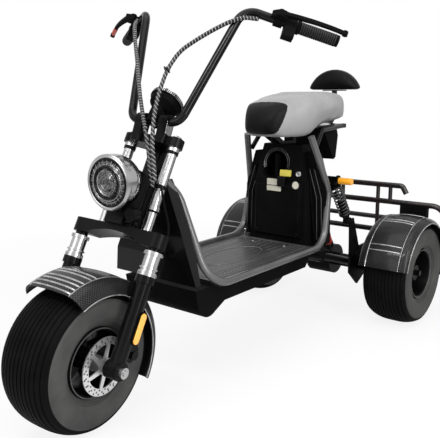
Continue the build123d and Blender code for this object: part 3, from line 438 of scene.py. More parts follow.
def rounded(width, height, radius, steps=5):
    """Outline of a rectangle with round corners, centred, in millimetres."""
    outline = []
    for turn, (sx, sy) in enumerate(((1, 1), (-1, 1), (-1, -1), (1, -1))):
        cx, cy = sx * (width / 2 - radius), sy * (height / 2 - radius)
        for k in range(steps + 1):
            angle = math.radians(90 * turn + 90 * k / steps)
            outline.append((cx + radius * math.cos(angle), cy + radius * math.sin(angle)))
    return outline


def bolt(place, radius=6.0, rise=4.0):
    """A socket screw's head: a low cylinder with a rounded edge and a round socket."""
    return turned([(0, rise - 2.2), (radius * 0.5, rise - 2.2), (radius * 0.52, rise),
                   (radius * 0.82, rise), (radius, rise - 1), (radius, -1)], place, 24)


def coil(low, high, radius, wire, turns, sides=10, steps=28):
    """A spring between two points in metres; radius to the wire's middle, in millimetres."""
    span = Vector(high) - Vector(low)
    place = axes(low, span)
    path = []
    for k in range(int(turns * steps) + 1):
        angle = 2 * math.pi * k / steps
        part = k / (turns * steps)
        path.append(place @ Vector((radius * math.cos(angle) / 1000, radius * math.sin(angle) / 1000,
                                    span.length * part)))
    return tube(path, wire, sides)


print("piece makers ready")

# %% [markdown]
# ## Balloon tyres
# A balloon tyre on a street trike has a nearly smooth tread: eight or nine shallow
# grooves that run around it, and a broad shoulder. The sidewall collects pale dust in
# its moulded rings. The tyre is a lathe job, so the whole of it is one profile: grooves
# are dips in that profile. Two rubbers, one for the tread and one for the dusty
# sidewall, are given face by face from where a face lies across the tyre.

# %% Tread and sidewall rubber
tread_rubber = plain_finish("tread_rubber", rgb(0.003), rgb(0.006), (0.46, 0.62), grain=500,
                            bump=0.0003, patch=14, mirror=0.02)
side_rubber = plain_finish("side_rubber", rgb(0.038), rgb(0.075, (1.0, 0.99, 0.96)), (0.55, 0.78),
                           grain=260, bump=0.0004, patch=10, mirror=0.10)
RIM_RADIUS = 100.0
TYRE_SKIN = 1.0             # how far the skin stays inside the wheel's radius
SHOULDER_FALL = 23.0
EDGE_STEP = 4.0             # the step down where the tread ends
GROOVE_PITCH = 14
GROOVE_TOP = 2.2            # half widths of a groove at its top and on its floor
GROOVE_FLOOR = 1.0
GROOVE_DEPTH = 3.2
GROOVES = range(-5 * GROOVE_PITCH, 6 * GROOVE_PITCH, GROOVE_PITCH)
half_tyre = tyre_width * 500


def tyre_section(y):
    """Radius in millimetres of the tyre's outer skin at a distance from its middle."""
    across = min(1.0, abs(y) / (half_tyre - 1))
    step = EDGE_STEP if across > 0.97 else 0
    return wheel_radius * 1000 - TYRE_SKIN - SHOULDER_FALL * across ** 3.2 - step


def tyre_profile():
    """The whole section as (radius, distance from the middle), from bead to bead."""
    half = half_tyre
    # the sidewall: height over the rim, distance from the middle; the small steps are moulded rings
    wall = [(-2, 66), (3, 70), (8, 74), (9, 77), (12, 77.6), (13, 81), (17, 84.5), (26, 87.4),
            (27, 88.6), (30, 88.9), (31, 88.4), (46, half - 1), (60, half - 1.4),
            (66, half - 2.6), (67, half - 1.8), (70, half - 2.2), (71, half - 3.6), (76, half - 6)]
    left = [(RIM_RADIUS + up, y) for up, y in wall]
    left += [(tyre_section(y), y) for y in (half - 8.5, half - 13)]
    for groove in reversed([g for g in GROOVES if g > 0]):
        floor = tyre_section(groove) - GROOVE_DEPTH
        left += [(tyre_section(groove + GROOVE_TOP), groove + GROOVE_TOP), (floor, groove + GROOVE_FLOOR),
                 (floor, groove - GROOVE_FLOOR), (tyre_section(groove - GROOVE_TOP), groove - GROOVE_TOP)]
    left += [(tyre_section(GROOVE_TOP), GROOVE_TOP), (tyre_section(0) - GROOVE_DEPTH, GROOVE_FLOOR)]
    return left + [(radius, -y) for radius, y in reversed(left)]


def make_tyre(name, hub, axle, body, node):
    """One tyre; its sidewall faces get the dusty rubber."""
    mesh = turned(tyre_profile(), axes(hub, axle), 144, closed=True)
    piece = finish_piece(name, mesh, (tread_rubber, side_rubber), body, 24)
    axle = Vector(axle).normalized()
    for face in mesh.polygons:
        offset = (face.center - hub).dot(axle) * 1000
        reach = math.sqrt(max(0.0, ((face.center - hub).length * 1000) ** 2 - offset ** 2))
        if abs(offset) > 60 and reach < wheel_radius * 1000 - 24:
            face.material_index = 1
    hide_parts(node)


make_tyre("front_balloon_tyre", front_hub, fork_left, "front_wheel", "front_tyre")
for side, hub in rear_hubs.items():
    make_tyre(f"rear_balloon_tyre_{side}", hub, (0, 1, 0), f"rear_wheel_{side}", f"rear_tyre_{side}")
print("grooves:", len(GROOVES), "points in the profile:", len(tyre_profile()))

# %% [markdown]
# A rolled edge on each rim wears a grey finish lighter than the black rim: a painted
# highlight, a thin bright ring. The brake disc shows two rows of dark drillings beside
# the ones cut through the solid.

# %% Rim edges with painted highlight rings, and disc drillings
RIM_EDGE_RADIUS = 94.6
RIM_EDGE_ACROSS = 73.2      # from the wheel's middle plane
RIM_EDGE_WIRE = 1.7
DISC_FACE = 102.75          # the disc's outer face, from the wheel's middle plane
DRILL_ROWS = {75.5: 24, 64.5: 20}    # radius of a row: how many


def rim_edge_highlights(name, hub, axle, body):
    place = axes(hub, axle)
    rings = []
    for side in (1, -1):
        path = circle_points(place, RIM_EDGE_RADIUS, 72, side * RIM_EDGE_ACROSS)
        rings.append(tube(path, RIM_EDGE_WIRE, 8, loop=True))
    # the grey finish on the black rim's edge is a painted highlight
    finish_piece(name, joined(rings), frame_grey, body)


rim_edge_highlights("front_rim_edges", front_hub, fork_left, "front_wheel")
for side, hub in rear_hubs.items():
    rim_edge_highlights(f"rear_rim_edges_{side}", hub, (0, 1, 0), f"rear_wheel_{side}")
drillings = []
for radius, count in DRILL_ROWS.items():
    for k in range(count):
        angle = 2 * math.pi * (k + 0.5) / count
        spot = on_fork(radius * math.cos(angle), DISC_FACE, radius * math.sin(angle))
        drillings.append(turned([(0, 0.3), (2.3, 0.3), (2.5, 0)], axes(spot, fork_left, fork_up), 12))
finish_piece("disc_drillings", joined(drillings), black_plastic, "front_wheel")
print("drillings:", len(drillings))

# %% [markdown]
# ## Fork furniture
# The sleeves at the top of the fork legs are knurled: fine ridges that stop a hand or a
# spanner from slipping. Seen from a few steps away a knurl is just a bright and dark
# comb, so it is made as a real comb of small teeth around a ring. A clamp ring sits
# where the upper tube is joined, and the axle ends in a bright nut.

# %% Knurled rings, joint rings and axle nuts
FORK_SPACING = 138.0        # from the middle to each leg
SLEEVE_KNURLS = (257, 313)  # heights along the fork
TUBE_AHEAD = -10.0
TUBE_SPACING = 80.0
JOINT_HEIGHTS = (436, 506, 612)
TUBE_TOP = 656.0
NUT_RADIUS = 11.0
NUT_PLACE = FORK_SPACING + 27.8


def knurl(place, radius, height, teeth=44, deep=1.4):
    """A ring whose outside is cut into upright teeth."""
    outline = []
    for k in range(teeth):
        for part, size in ((0.0, radius), (0.45, radius), (0.5, radius - deep), (0.95, radius - deep)):
            angle = 2 * math.pi * (k + part) / teeth
            outline.append((size * math.cos(angle), size * math.sin(angle)))
    return plate(outline, height, place)


def fork_spot(ahead, left, up):
    """A place on the fork as a matrix whose Z runs up the fork."""
    return FORK @ Matrix.Translation(Vector((ahead, left, up)) / 1000)


rings, joint_rings, nuts = [], [], []
for side in (1, -1):
    for height in SLEEVE_KNURLS:
        rings.append(knurl(fork_spot(0, side * FORK_SPACING, height), 26.6, 7, 48, 0.9))
    for height in JOINT_HEIGHTS:
        joint_rings.append(turned([(15.2, -6), (17.6, -5), (17.6, 5), (15.2, 6)],
                                  fork_spot(TUBE_AHEAD, side * TUBE_SPACING, height), 40))
    joint_rings.append(turned([(0, 6), (9, 6), (14, 3), (15.6, 0), (15.6, -6)],
                              fork_spot(TUBE_AHEAD, side * TUBE_SPACING, TUBE_TOP), 40))
    corners = [(NUT_RADIUS * math.cos(math.radians(60 * k)), NUT_RADIUS * math.sin(math.radians(60 * k)))
               for k in range(6)]
    nuts.append(plate(corners, 7, axes(on_fork(0, side * NUT_PLACE, 0), fork_left * side, fork_up)))
finish_piece("fork_knurls", joined(rings), bright_steel, "steering", 20)
finish_piece("fork_joint_rings", joined(joint_rings), black_alloy, "steering")
bevelled(finish_piece("front_axle_nuts", joined(nuts), bright_steel, "steering", 20), 0.8)
print("knurled rings:", len(rings), "joint rings:", len(joint_rings))

# %% [markdown]
# The handlebar stands on two risers. Each one wears a thin bright plate on its outer
# side, cut to a leaning outline.

# %% Bright faces of the risers
RISER_FACE = ((-18, 16), (-15, 52), (15, 52), (9, 16))
risers = []
for side in (1, -1):
    place = axes(on_fork(15, side * 58.2, 640), fork_left * side, fork_ahead)
    risers.append(plate([(x, -side * y) for x, y in RISER_FACE], 1.4, place))
bevelled(finish_piece("riser_faces", joined(risers), bright_steel, "steering"), 0.6)
print("riser faces:", len(risers))

# %% [markdown]
# ## Woven fender skins
# The fenders have the look of woven fibre under thick clear lacquer. A twill weave is
# two sets of flat threads that take turns on top, so it reads as a fine chequer whose
# light squares catch the lamp and dark squares don't. The chequer has to follow the
# sheet around its curves, so the skins are built here again on the solids' own section,
# and each point is given flat coordinates: how far along the sheet and how far across.
# The clear coat on top carries the sharp reflections, the threads below stay soft.

# %% Weave under lacquer
THREAD = 0.0046             # width of one square, in metres


def weave_finish(name, dark, light):
    material, tree, shader = new_finish(name)
    place = tree.nodes.new("ShaderNodeUVMap")
    squares = tree.nodes.new("ShaderNodeTexChecker")
    squares.inputs["Scale"].default_value = 1 / THREAD
    tree.links.new(place.outputs["UV"], squares.inputs["Vector"])
    fibres = spread(tree, drift(tree, 1200, 2.0), 0.3, 1.0)
    glint = reckon(tree, "MULTIPLY", squares.outputs["Fac"], fibres)
    tree.links.new(two_colours(tree, glint, dark, light), shader.inputs["Base Color"])
    tree.links.new(spread(tree, drift(tree, 6), 0.30, 0.42), shader.inputs["Roughness"])
    shader.inputs["Metallic"].default_value = 0.2
    shader.inputs["Specular IOR Level"].default_value = 0.12
    shader.inputs["Coat Weight"].default_value = 0.16
    shader.inputs["Coat Roughness"].default_value = 0.05
    raise_by(tree, shader, squares.outputs["Fac"], 0.0002, 0.5)
    return material


weave = weave_finish("weave_gloss", rgb(0.0015), rgb(0.040))
# a grey much lighter than the weave: a painted highlight along ridges, creases and edges
trim_painted_highlight = plain_finish("trim_painted_highlight", rgb(0.20), rgb(0.42), (0.16, 0.28), metal=0.6, coat=0.5,
                          grain=700, patch=40)
print("squares in a metre:", round(1 / THREAD))

# %% [markdown]
# The section is the same three arcs as the solid's: a gently rounded crown and a skirt
# on each side that curves down from a crease. An arc through three points is found from
# its circle's middle, then walked in equal steps.

# %% Fender skins on the solids' section
FENDER_CREASE = 0.66        # where the crown ends, as a share of half the width
FENDER_SHEET = 3.0
CREASE_DROP = 5.0           # of the crease below the crown's top
SKIRT_BULGE = 5.0           # of the skirt outside the straight line
# radius, width and skirt drop in millimetres; first and last are angles from upright, forwards
FRONT_FENDER = {"radius": wheel_radius * 1000 + 34, "width": tyre_width * 1000 + 34, "drop": 46.0,
                "first": -93, "last": 52}
REAR_FENDER = {"radius": wheel_radius * 1000 + 20, "width": tyre_width * 1000 + 16, "drop": 24.0,
               "first": -104, "last": 76}


def arc_through(start, middle, end, steps):
    """Points on the circle arc from start to end by way of middle, both ends included."""
    (ax, ay), (bx, by), (cx, cy) = start, middle, end
    a2, b2, c2 = ax ** 2 + ay ** 2, bx ** 2 + by ** 2, cx ** 2 + cy ** 2
    d = 2 * (ax * (by - cy) + bx * (cy - ay) + cx * (ay - by))
    ux = (a2 * (by - cy) + b2 * (cy - ay) + c2 * (ay - by)) / d
    uy = (a2 * (cx - bx) + b2 * (ax - cx) + c2 * (bx - ax)) / d
    first, last = math.atan2(ay - uy, ax - ux), math.atan2(cy - uy, cx - ux)
    turn = (last - first + math.pi) % (2 * math.pi) - math.pi
    size = math.hypot(ax - ux, ay - uy)
    angles = [first + turn * k / steps for k in range(steps + 1)]
    return [(ux + size * math.cos(angle), uy + size * math.sin(angle)) for angle in angles]


def fender_section(fender, inset=0.0):
    """A skin from the fender's right edge to its left, as (across, radius), in millimetres."""
    radius, drop, half = fender["radius"], fender["drop"], fender["width"] / 2
    rim, crease = half - inset, half * FENDER_CREASE
    edge = (crease, radius - CREASE_DROP - inset)
    bulge = ((crease + rim) / 2 + SKIRT_BULGE - inset, radius - drop * 0.42 - inset)
    skirt = arc_through(edge, bulge, (rim, radius - drop), 10)
    crown = arc_through((-edge[0], edge[1]), (0, radius - inset), edge, 16)
    return [(-y, r) for y, r in reversed(skirt)] + crown[1:-1] + skirt


def fender_spot(place, radius, angle, across):
    """A point over a wheel: angle from upright towards the front, distance across, in millimetres."""
    turn = math.radians(angle)
    return place @ Vector((radius * math.sin(turn) / 1000, across / 1000, radius * math.cos(turn) / 1000))


def fender_skin(name, place, fender, body, node):
    """A fender's sheet with flat coordinates along and across it."""
    work = bmesh.new()
    flat = work.loops.layers.uv.new("flat")
    outer = fender_section(fender)
    section = outer + list(reversed(fender_section(fender, FENDER_SHEET)))
    across = [0.0]
    for (y0, r0), (y1, r1) in zip(section, section[1:]):
        across.append(across[-1] + math.hypot(y1 - y0, r1 - r0))
    steps = 84
    span = fender["last"] - fender["first"]
    rows = []
    for k in range(steps + 1):
        angle = fender["first"] + span * k / steps
        rows.append([work.verts.new(fender_spot(place, r, angle, y)) for y, r in section])
    for k in range(steps):
        near, far = [math.radians(span * (k + d) / steps) * fender["radius"] for d in (0, 1)]
        for i in range(len(section)):
            j = (i + 1) % len(section)
            face = work.faces.new((rows[k][i], rows[k + 1][i], rows[k + 1][j], rows[k][j]))
            left, right = across[i], across[j] if j else across[i] + FENDER_SHEET
            for corner, u, v in zip(face.loops, (left, left, right, right), (near, far, far, near)):
                corner[flat].uv = (u / 1000, v / 1000)
    # both ends are closed by strips between the two skins
    for row, flip in ((rows[0], False), (rows[-1], True)):
        for i in range(len(outer) - 1):
            corners = (row[i], row[i + 1], row[-2 - i], row[-1 - i])
            work.faces.new(tuple(reversed(corners)) if flip else corners)
    piece = finish_piece(name, mesh_of(work, name), weave, body, 35)
    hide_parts(node)


fender_skin("front_fender_skin", FORK, FRONT_FENDER, "steering", "front_fender")
for side, hub in rear_hubs.items():
    fender_skin(f"rear_fender_skin_{side}", Matrix.Translation(hub), REAR_FENDER, "chassis",
                f"rear_fender_{side}")
print("fender widths:", FRONT_FENDER["width"], REAR_FENDER["width"])

# %% [markdown]
# Each fender is stiffened by pressed ridges across its crown and by a rolled edge. On
# the real sheet the ridge is part of the skin. Here it is a narrow strip that follows
# the crown a fraction of a millimetre above it, with a rounded back, in a grey much
# lighter than the weave: a painted highlight, a line of light in the same place. The
# beads along the creases and edges are painted highlights too.

# %% Ridges and rolled edges in a painted highlight finish
RIDGE_WIDE = 1.5            # degrees around the wheel
RIDGE_RISE = 2.4
RIDGE_REACH = 0.97          # share of the crown that a ridge crosses
RIDGE_BACK = ((-1.0, -0.4), (-0.75, 0.35), (-0.35, 0.9), (0.0, 1.0), (0.35, 0.9), (0.75, 0.35),
              (1.0, -0.4))  # its section: share of the half width, share of the rise
FRONT_RIDGES = (49.5, 45.5, 41.5, 37.5, 31.0, 26.5)
REAR_RIDGES = (58, 52, 20, 16, -14, -18, -60)
EDGE_BEAD = 2.0
CREASE_BEAD = 1.3


def ridge(place, fender, angle):
    """One pressed ridge across a fender's crown, between its creases."""
    crease = fender["width"] / 2 * FENDER_CREASE
    work = bmesh.new()
    rows = []
    for k in range(25):
        share = k / 12 - 1
        across = crease * RIDGE_REACH * share
        crown = fender["radius"] - CREASE_DROP * (across / crease) ** 2
        fade = min(1.0, 6 * (1 - abs(share)) + 0.15)
        rows.append([work.verts.new(fender_spot(place, crown + RIDGE_RISE * up * fade,
                                                angle + part * RIDGE_WIDE / 2, across))
                     for part, up in RIDGE_BACK])
    for low, high in zip(rows, rows[1:]):
        for i in range(len(low) - 1):
            work.faces.new((low[i], high[i], high[i + 1], low[i + 1]))
    return mesh_of(work, "ridge")


def rolled_edge(place, fender):
    """Beads along both lower edges of a fender and along both creases."""
    rim = fender["width"] / 2 - 1.2
    crease = fender["width"] / 2 * FENDER_CREASE
    span = fender["last"] - fender["first"]
    beads = []
    for side in (1, -1):
        for radius, across, bead, sides in ((fender["radius"] - fender["drop"] + 0.4, rim, EDGE_BEAD, 8),
                                            (fender["radius"] - CREASE_DROP - 0.2, crease, CREASE_BEAD, 6)):
            path = [fender_spot(place, radius, fender["first"] + span * k / 60, side * across)
                    for k in range(61)]
            beads.append(tube(path, bead, sides))
    return joined(beads)


def fender_trim(name, place, fender, angles, body):
    """The ridges and beads of one fender; name holds where the two words go."""
    ridges = [ridge(place, fender, angle) for angle in angles]
    # ridges and beads wear the painted highlight finish
    finish_piece(name.format("ridges"), joined(ridges), trim_painted_highlight, body)
    finish_piece(name.format("edge"), rolled_edge(place, fender), trim_painted_highlight, body)


fender_trim("front_fender_{}", FORK, FRONT_FENDER, FRONT_RIDGES, "steering")
for side, hub in rear_hubs.items():
    fender_trim("rear_fender_{}_" + side, Matrix.Translation(hub), REAR_FENDER, REAR_RIDGES, "chassis")
print("ridges:", len(FRONT_RIDGES), "in front,", len(REAR_RIDGES), "on each rear fender")

# %% [markdown]
# ## Headlight
# The lamp is a bright bowl with a fluted glass. Behind the glass a projector sits in a
# stepped reflector, so from outside the face reads as dark rings with bright crumbs of
# light between them. The face is one turned piece whose profile climbs in steps towards
# the projector. Short flutes run across its outer ring, three thin bright rings and two
# dark ones lie on the steps, and a cell pattern in the finish gives the crumbs.

# %% Smoky glass
LAMP_RADIUS = 77.0
lamp_middle = on_fork(110, 0, 464)
fork_lean = math.atan2(fork_up.xy.length, fork_up.z)
lamp_way = FORK.to_3x3() @ Vector((math.cos(fork_lean), 0, -math.sin(fork_lean)))
lamp_face = axes(lamp_middle, lamp_way, fork_up)


def lamp_glass_finish():
    """Smoky glass: dark, with bright crumbs from a pattern of small cells."""
    material, tree, shader = new_finish("lamp_glass")
    place = tree.nodes.new("ShaderNodeTexCoord")
    crumbs = tree.nodes.new("ShaderNodeTexVoronoi")
    crumbs.inputs["Scale"].default_value = 190
    tree.links.new(place.outputs["Object"], crumbs.inputs["Vector"])
    factor = spread(tree, crumbs.outputs["Distance"], 0.0, 1.0)
    tree.links.new(two_colours(tree, factor, rgb(0.13), rgb(0.006)), shader.inputs["Base Color"])
    shader.inputs["Metallic"].default_value = 0.75
    tree.links.new(spread(tree, drift(tree, 300), 0.15, 0.4), shader.inputs["Roughness"])
    shader.inputs["Coat Weight"].default_value = 1.0
    raise_by(tree, shader, crumbs.outputs["Distance"], 0.0012, 0.8)
    return material


lamp_glass = lamp_glass_finish()
print("lamp looks along", shortly(lamp_way))

# %% Stepped face and bezel
reflector = []
radius = LAMP_RADIUS - 8.6
height = 1.0
while radius > 24:
    reflector += [(radius, height), (radius - 2.4, height + 2.6), (radius - 5.4, height + 1.4)]
    radius -= 7.2
    height += 1.25
reflector += [(23, 9.4), (21, 11.8), (18, 12.6), (16, 10.6), (10, 9.4), (0, 8.8)]
face_piece = finish_piece("headlight_face", turned(reflector, lamp_face, 72), lamp_glass,
                          "steering", 25)
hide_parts("headlight_lens")
bezel = [(-9.6, -1), (-9.4, 4.2), (-7, 5.6), (-3, 4.6), (0.6, 1.4), (0.8, -6), (0.2, -9)]
finish_piece("headlight_bezel", turned([(LAMP_RADIUS + out, up) for out, up in bezel], lamp_face, 96),
             bright_steel, "steering")
print("reflector steps:", len(reflector) // 3)

# %% Flutes and rings on the face
FLUTES = 24
FLUTE_INNER = 50.0
FLUTE_OUTER = LAMP_RADIUS - 11
BRIGHT_RINGS = (50, 33, 20)
DARK_RINGS = ((LAMP_RADIUS - 9.2, 3.6), (46, 8.6))    # outer radius, height
flutes = []
for k in range(FLUTES):
    angle = 2 * math.pi * k / FLUTES
    ends = [lamp_face @ (Vector((reach * math.cos(angle), reach * math.sin(angle), up)) / 1000)
            for reach, up in ((FLUTE_INNER, 7.2), (FLUTE_OUTER, 4.2))]
    flutes.append(tube(ends, 0.5, 5))
for ring in BRIGHT_RINGS:
    flutes.append(tube(circle_points(lamp_face, ring, 48, 12.8 - ring * 0.11), 0.9, 6, loop=True))
finish_piece("headlight_flutes", joined(flutes), bright_steel, "steering")
shade = [turned([(outer, low), (outer - 1, low + 2), (outer - 5, low + 2.4), (outer - 6, low + 0.8)],
                lamp_face, 72) for outer, low in DARK_RINGS]
finish_piece("headlight_shade", joined(shade), black_gloss, "steering")
print("flutes:", FLUTES, "rings:", len(BRIGHT_RINGS) + len(shade))

# %% [markdown]
# ## Speedometer
# A small round instrument: a coin-edged bright rim, a dark dial with ticks around its
# sweep, a pale needle and a hub. The ticks are laid out by one loop, every fourth one
# longer.

# %% Coin edge, lip and dial
GAUGE_RADIUS = 52.0
gauge_up = FORK.to_3x3() @ Vector((-0.36, 0, 0.93))
gauge_place = axes(on_fork(-4, 0, 757), gauge_up, fork_ahead)
rim_place = gauge_place @ Matrix.Translation((0, 0, 0.006))
finish_piece("gauge_rim", joined([knurl(rim_place, GAUGE_RADIUS + 0.8, 9.5, 60, 1.6)]), bright_steel,
             "steering", 20)
lip = [(-7.6, 14.2), (-6.5, 18.6), (-3, 19.4), (0.4, 17.4), (0.6, 15)]
finish_piece("gauge_lip", turned([(GAUGE_RADIUS + out, up) for out, up in lip], gauge_place, 80),
             bright_steel, "steering")
dial_paint = plain_finish("dial_paint", rgb(0.012), rgb(0.020), (0.25, 0.35), coat=0.6, grain=900,
                          bump=0.00002)
dial = [(0, 14.8), (GAUGE_RADIUS - 8.2, 14.6), (GAUGE_RADIUS - 7.4, 15.6)]
finish_piece("gauge_dial", turned(dial, gauge_place, 64), dial_paint, "steering")
print("gauge radius:", GAUGE_RADIUS)

# %% Ticks and needle
TICKS = 21
SWEEP = 270.0
TICK_RADIUS = 38.0
NEEDLE_ANGLE = -128.0
tick_paint = plain_finish("tick_paint", rgb(0.75), rgb(0.62), (0.4, 0.5), grain=900, bump=0.00002)
marks = []
for k in range(TICKS):
    angle = math.radians(SWEEP * (k / (TICKS - 1) - 0.5))
    half = 4 if k % 4 == 0 else 2.5
    out = Matrix.Translation((TICK_RADIUS / 1000, 0, 0.0149))
    tick_place = gauge_place @ Matrix.Rotation(angle, 4, "Z") @ out
    marks.append(plate([(-half, -0.6), (half, -0.6), (half, 0.6), (-half, 0.6)], 0.5, tick_place))
turn = Matrix.Rotation(math.radians(NEEDLE_ANGLE), 4, "Z")
needle_place = gauge_place @ turn @ Matrix.Translation((0, 0, 0.0154))
marks.append(plate([(-8, -1.6), (33, -0.4), (33, 0.4), (-8, 1.6)], 0.6, needle_place))
marks.append(turned([(0, 17.2), (4, 16.8), (5, 15.2)], gauge_place, 20))
finish_piece("gauge_ticks", joined(marks), tick_paint, "steering")
print("ticks:", TICKS)

# %% [markdown]
# ## Grips and controls
# The grips point out and back from the bends of the handlebar. Two functions find
# places near them, so that what sits on a grip or beside it can be given along the grip,
# ahead of it and above it, the same way on both sides.

# %% Places near the grips
BAR_BEND = (14.0, 180.0, 1062.0)    # on the fork, for the left side
BAR_END = (-160.0, 405.0, 1065.0)


def grip_axis(side):
    """The place of a bar end, Z pointing in along the grip."""
    start, inner = [on_fork(ahead, side * left, up) for ahead, left, up in (BAR_END, BAR_BEND)]
    return axes(start, inner - start, fork_up)


def by_grip(side, along, ahead, rise=0.0):
    """A point along, ahead of and above a grip, in millimetres from the bar's end."""
    place = grip_axis(side)
    inward = (place.to_3x3() @ Vector((0, 0, 1))).normalized()
    forward = fork_up.cross(inward).normalized() * side
    return place.translation + (inward * along + forward * ahead + fork_up * rise) / 1000


print("bar ends at", shortly(grip_axis(1).translation), shortly(grip_axis(-1).translation))

# %% [markdown]
# The right lever wears a red rubber sleeve on its outer half, a short bar that thins at
# both ends.

# %% Red sleeve of the right lever
# along the grip from the bar's end, ahead of it, and the sleeve's radius there
SLEEVE = ((2, 53, 5.8), (16, 54, 7.4), (32, 54.4, 7.6), (48, 54.6, 7.6), (62, 54.6, 6.8))
red_rubber = plain_finish("red_sleeve", rgb(0.55, (1, 0.10, 0.03)), rgb(0.42, (1, 0.08, 0.03)),
                          (0.35, 0.5), coat=0.2)
sleeve_line = [by_grip(-1, along, ahead) for along, ahead, _ in SLEEVE]
sleeve = tube(sleeve_line, [radius for _, _, radius in SLEEVE], 16)
finish_piece("lever_sleeve", sleeve, red_rubber, "steering")
print("sleeve points:", len(SLEEVE))

# %% [markdown]
# Moulded rubber grips have fine ribs that keep a wet glove from turning. They are rings
# a millimetre or two proud of the grip. The bar ends carry plugs, the perches their
# mirror screws.

# %% Grip ribs, plugs and screws
RIBS = 17
RIB_PITCH = 6.4
SCREW_PLACE = (180, 24, 18)         # along the grip, ahead of it and above it
grip_rubber = plain_finish("grip_rubber", rgb(0.004), rgb(0.009), (0.44, 0.62), grain=900,
                           bump=0.0001, mirror=0.3)
ribbed = [(14, 1)]
for k in range(RIBS):
    start = 6 + RIB_PITCH * k
    ribbed += [(16.4, start), (17.9, start + 0.9), (18.1, start + 3.0), (17.9, start + 4.6),
               (16.4, start + 5.4)]
ribbed.append((14, 116))
plug = [(0, -4.4), (7, -4.2), (13, -2.6), (16, 0.4), (16.6, 4)]
screw = [(0, 7), (3, 7), (5.4, 5.4), (5.6, 1.5), (7.6, 1.2), (7.8, 0), (3.6, -0.2), (3.6, -9)]
ribs = [turned(ribbed, grip_axis(side), 40) for side in (1, -1)]
plugs = [turned(plug, grip_axis(side), 32) for side in (1, -1)]
screws = [turned(screw, axes(by_grip(side, *SCREW_PLACE), fork_up), 24) for side in (1, -1)]
finish_piece("grip_ribs", joined(ribs), grip_rubber, "steering", 40)
finish_piece("grip_plugs", joined(plugs), black_gloss, "steering")
finish_piece("mirror_screws", joined(screws), bright_steel, "steering", 25)
print("ribs on a grip:", RIBS)

# %% [markdown]
# ## Spiral-wrapped cables
# The cables to the controls are bound in a two-tone spiral wrap. Seen from a few steps
# away the wrap is a row of short pale dashes across a dark cable. The cables have no
# flat coordinates, so the dashes are counted in space: both cables run away from the
# grips, so the distance from a point near a grip grows steadily along them, and a wave
# of that distance puts a dash every nine millimetres.

# %% Two-tone wrap
WRAP_PITCH = 0.0092
WRAP_FROM = (-0.05, 0.30, 1.12)     # on the fork, in metres, for both sides alike


def wrap_finish(name):
    """Dashes at even steps of the distance from a point near each grip."""
    material, tree, shader = new_finish(name)
    place = tree.nodes.new("ShaderNodeTexCoord")
    from_hub = tree.nodes.new("ShaderNodeVectorMath")
    from_hub.operation = "SUBTRACT"
    from_hub.inputs[1].default_value = front_hub
    tree.links.new(place.outputs["Object"], from_hub.inputs[0])
    on_the_fork = tree.nodes.new("ShaderNodeCombineXYZ")
    for way, letter in ((fork_ahead, "X"), (fork_left, "Y"), (fork_up, "Z")):
        dot = tree.nodes.new("ShaderNodeVectorMath")
        dot.operation = "DOT_PRODUCT"
        dot.inputs[1].default_value = way
        tree.links.new(from_hub.outputs[0], dot.inputs[0])
        value = dot.outputs["Value"]
        if letter == "Y":
            value = reckon(tree, "ABSOLUTE", value)
        tree.links.new(value, on_the_fork.inputs[letter])
    away = tree.nodes.new("ShaderNodeVectorMath")
    away.operation = "DISTANCE"
    away.inputs[1].default_value = WRAP_FROM
    tree.links.new(on_the_fork.outputs[0], away.inputs[0])
    phase = reckon(tree, "MULTIPLY", away.outputs["Value"], 2 * math.pi / WRAP_PITCH)
    dash = spread(tree, reckon(tree, "SINE", phase), 0.0, 1.0, 0.66, 0.96)
    tree.links.new(two_colours(tree, dash, rgb(0.002), rgb(0.32)), shader.inputs["Base Color"])
    tree.links.new(spread(tree, drift(tree, 300), 0.30, 0.45), shader.inputs["Roughness"])
    shader.inputs["Specular IOR Level"].default_value = 0.3
    raise_by(tree, shader, dash, 0.0008, 0.8)
    return material


dress_node("bar_cables", wrap_finish("cable_wrap"))
print("dashes in a metre:", round(1 / WRAP_PITCH))

# %% Clip ring around the left cable
clip_middle = on_fork(60, 20, 836)
clip_place = axes(clip_middle, clip_middle - on_fork(48, 80, 942))
clip_ring = tube(circle_points(clip_place, 11, 28), 2.0, 8, loop=True)
clip_collar = turned([(6.2, -5), (8.4, -5), (8.4, 5), (6.2, 5)], clip_place, 24)
finish_piece("cable_clip", joined([clip_ring, clip_collar]), black_gloss, "steering")
print("cable clip at", shortly(clip_middle))

# %% [markdown]
# The reflectors on the fork legs sit in dark rims. A rim runs around a long shape with
# round ends: two half circles, pushed apart.

# %% Reflector rims
RIM_AHEAD, RIM_ACROSS, RIM_UP = -10, 163.0, 118     # middle of the left one, on the fork
RIM_STRAIGHT = 31.0                                 # half the straight part
RIM_END = 12.6                                      # radius of the round ends
rims = []
for side in (1, -1):
    path = []
    for k in range(40):
        angle = 2 * math.pi * k / 40
        shift = RIM_STRAIGHT if math.sin(angle) > 0 else -RIM_STRAIGHT
        path.append(on_fork(RIM_AHEAD + RIM_END * math.cos(angle), side * RIM_ACROSS,
                            RIM_UP + shift + RIM_END * math.sin(angle)))
    rims.append(tube(path, 2.2, 8, loop=True))
finish_piece("reflector_rims", joined(rims), black_plastic, "steering")
print("reflector rims:", len(rims))

# %% [markdown]
# ## Coil springs and dampers
# A shock is a damper with a spring around it. The solid model stands in for the spring
# with a smooth cylinder; here the wire itself is wound, with a closed turn at each end
# where it sits on its cup. The damper's rod is bright, its body dark, and the eye at
# each end holds a bright bush.

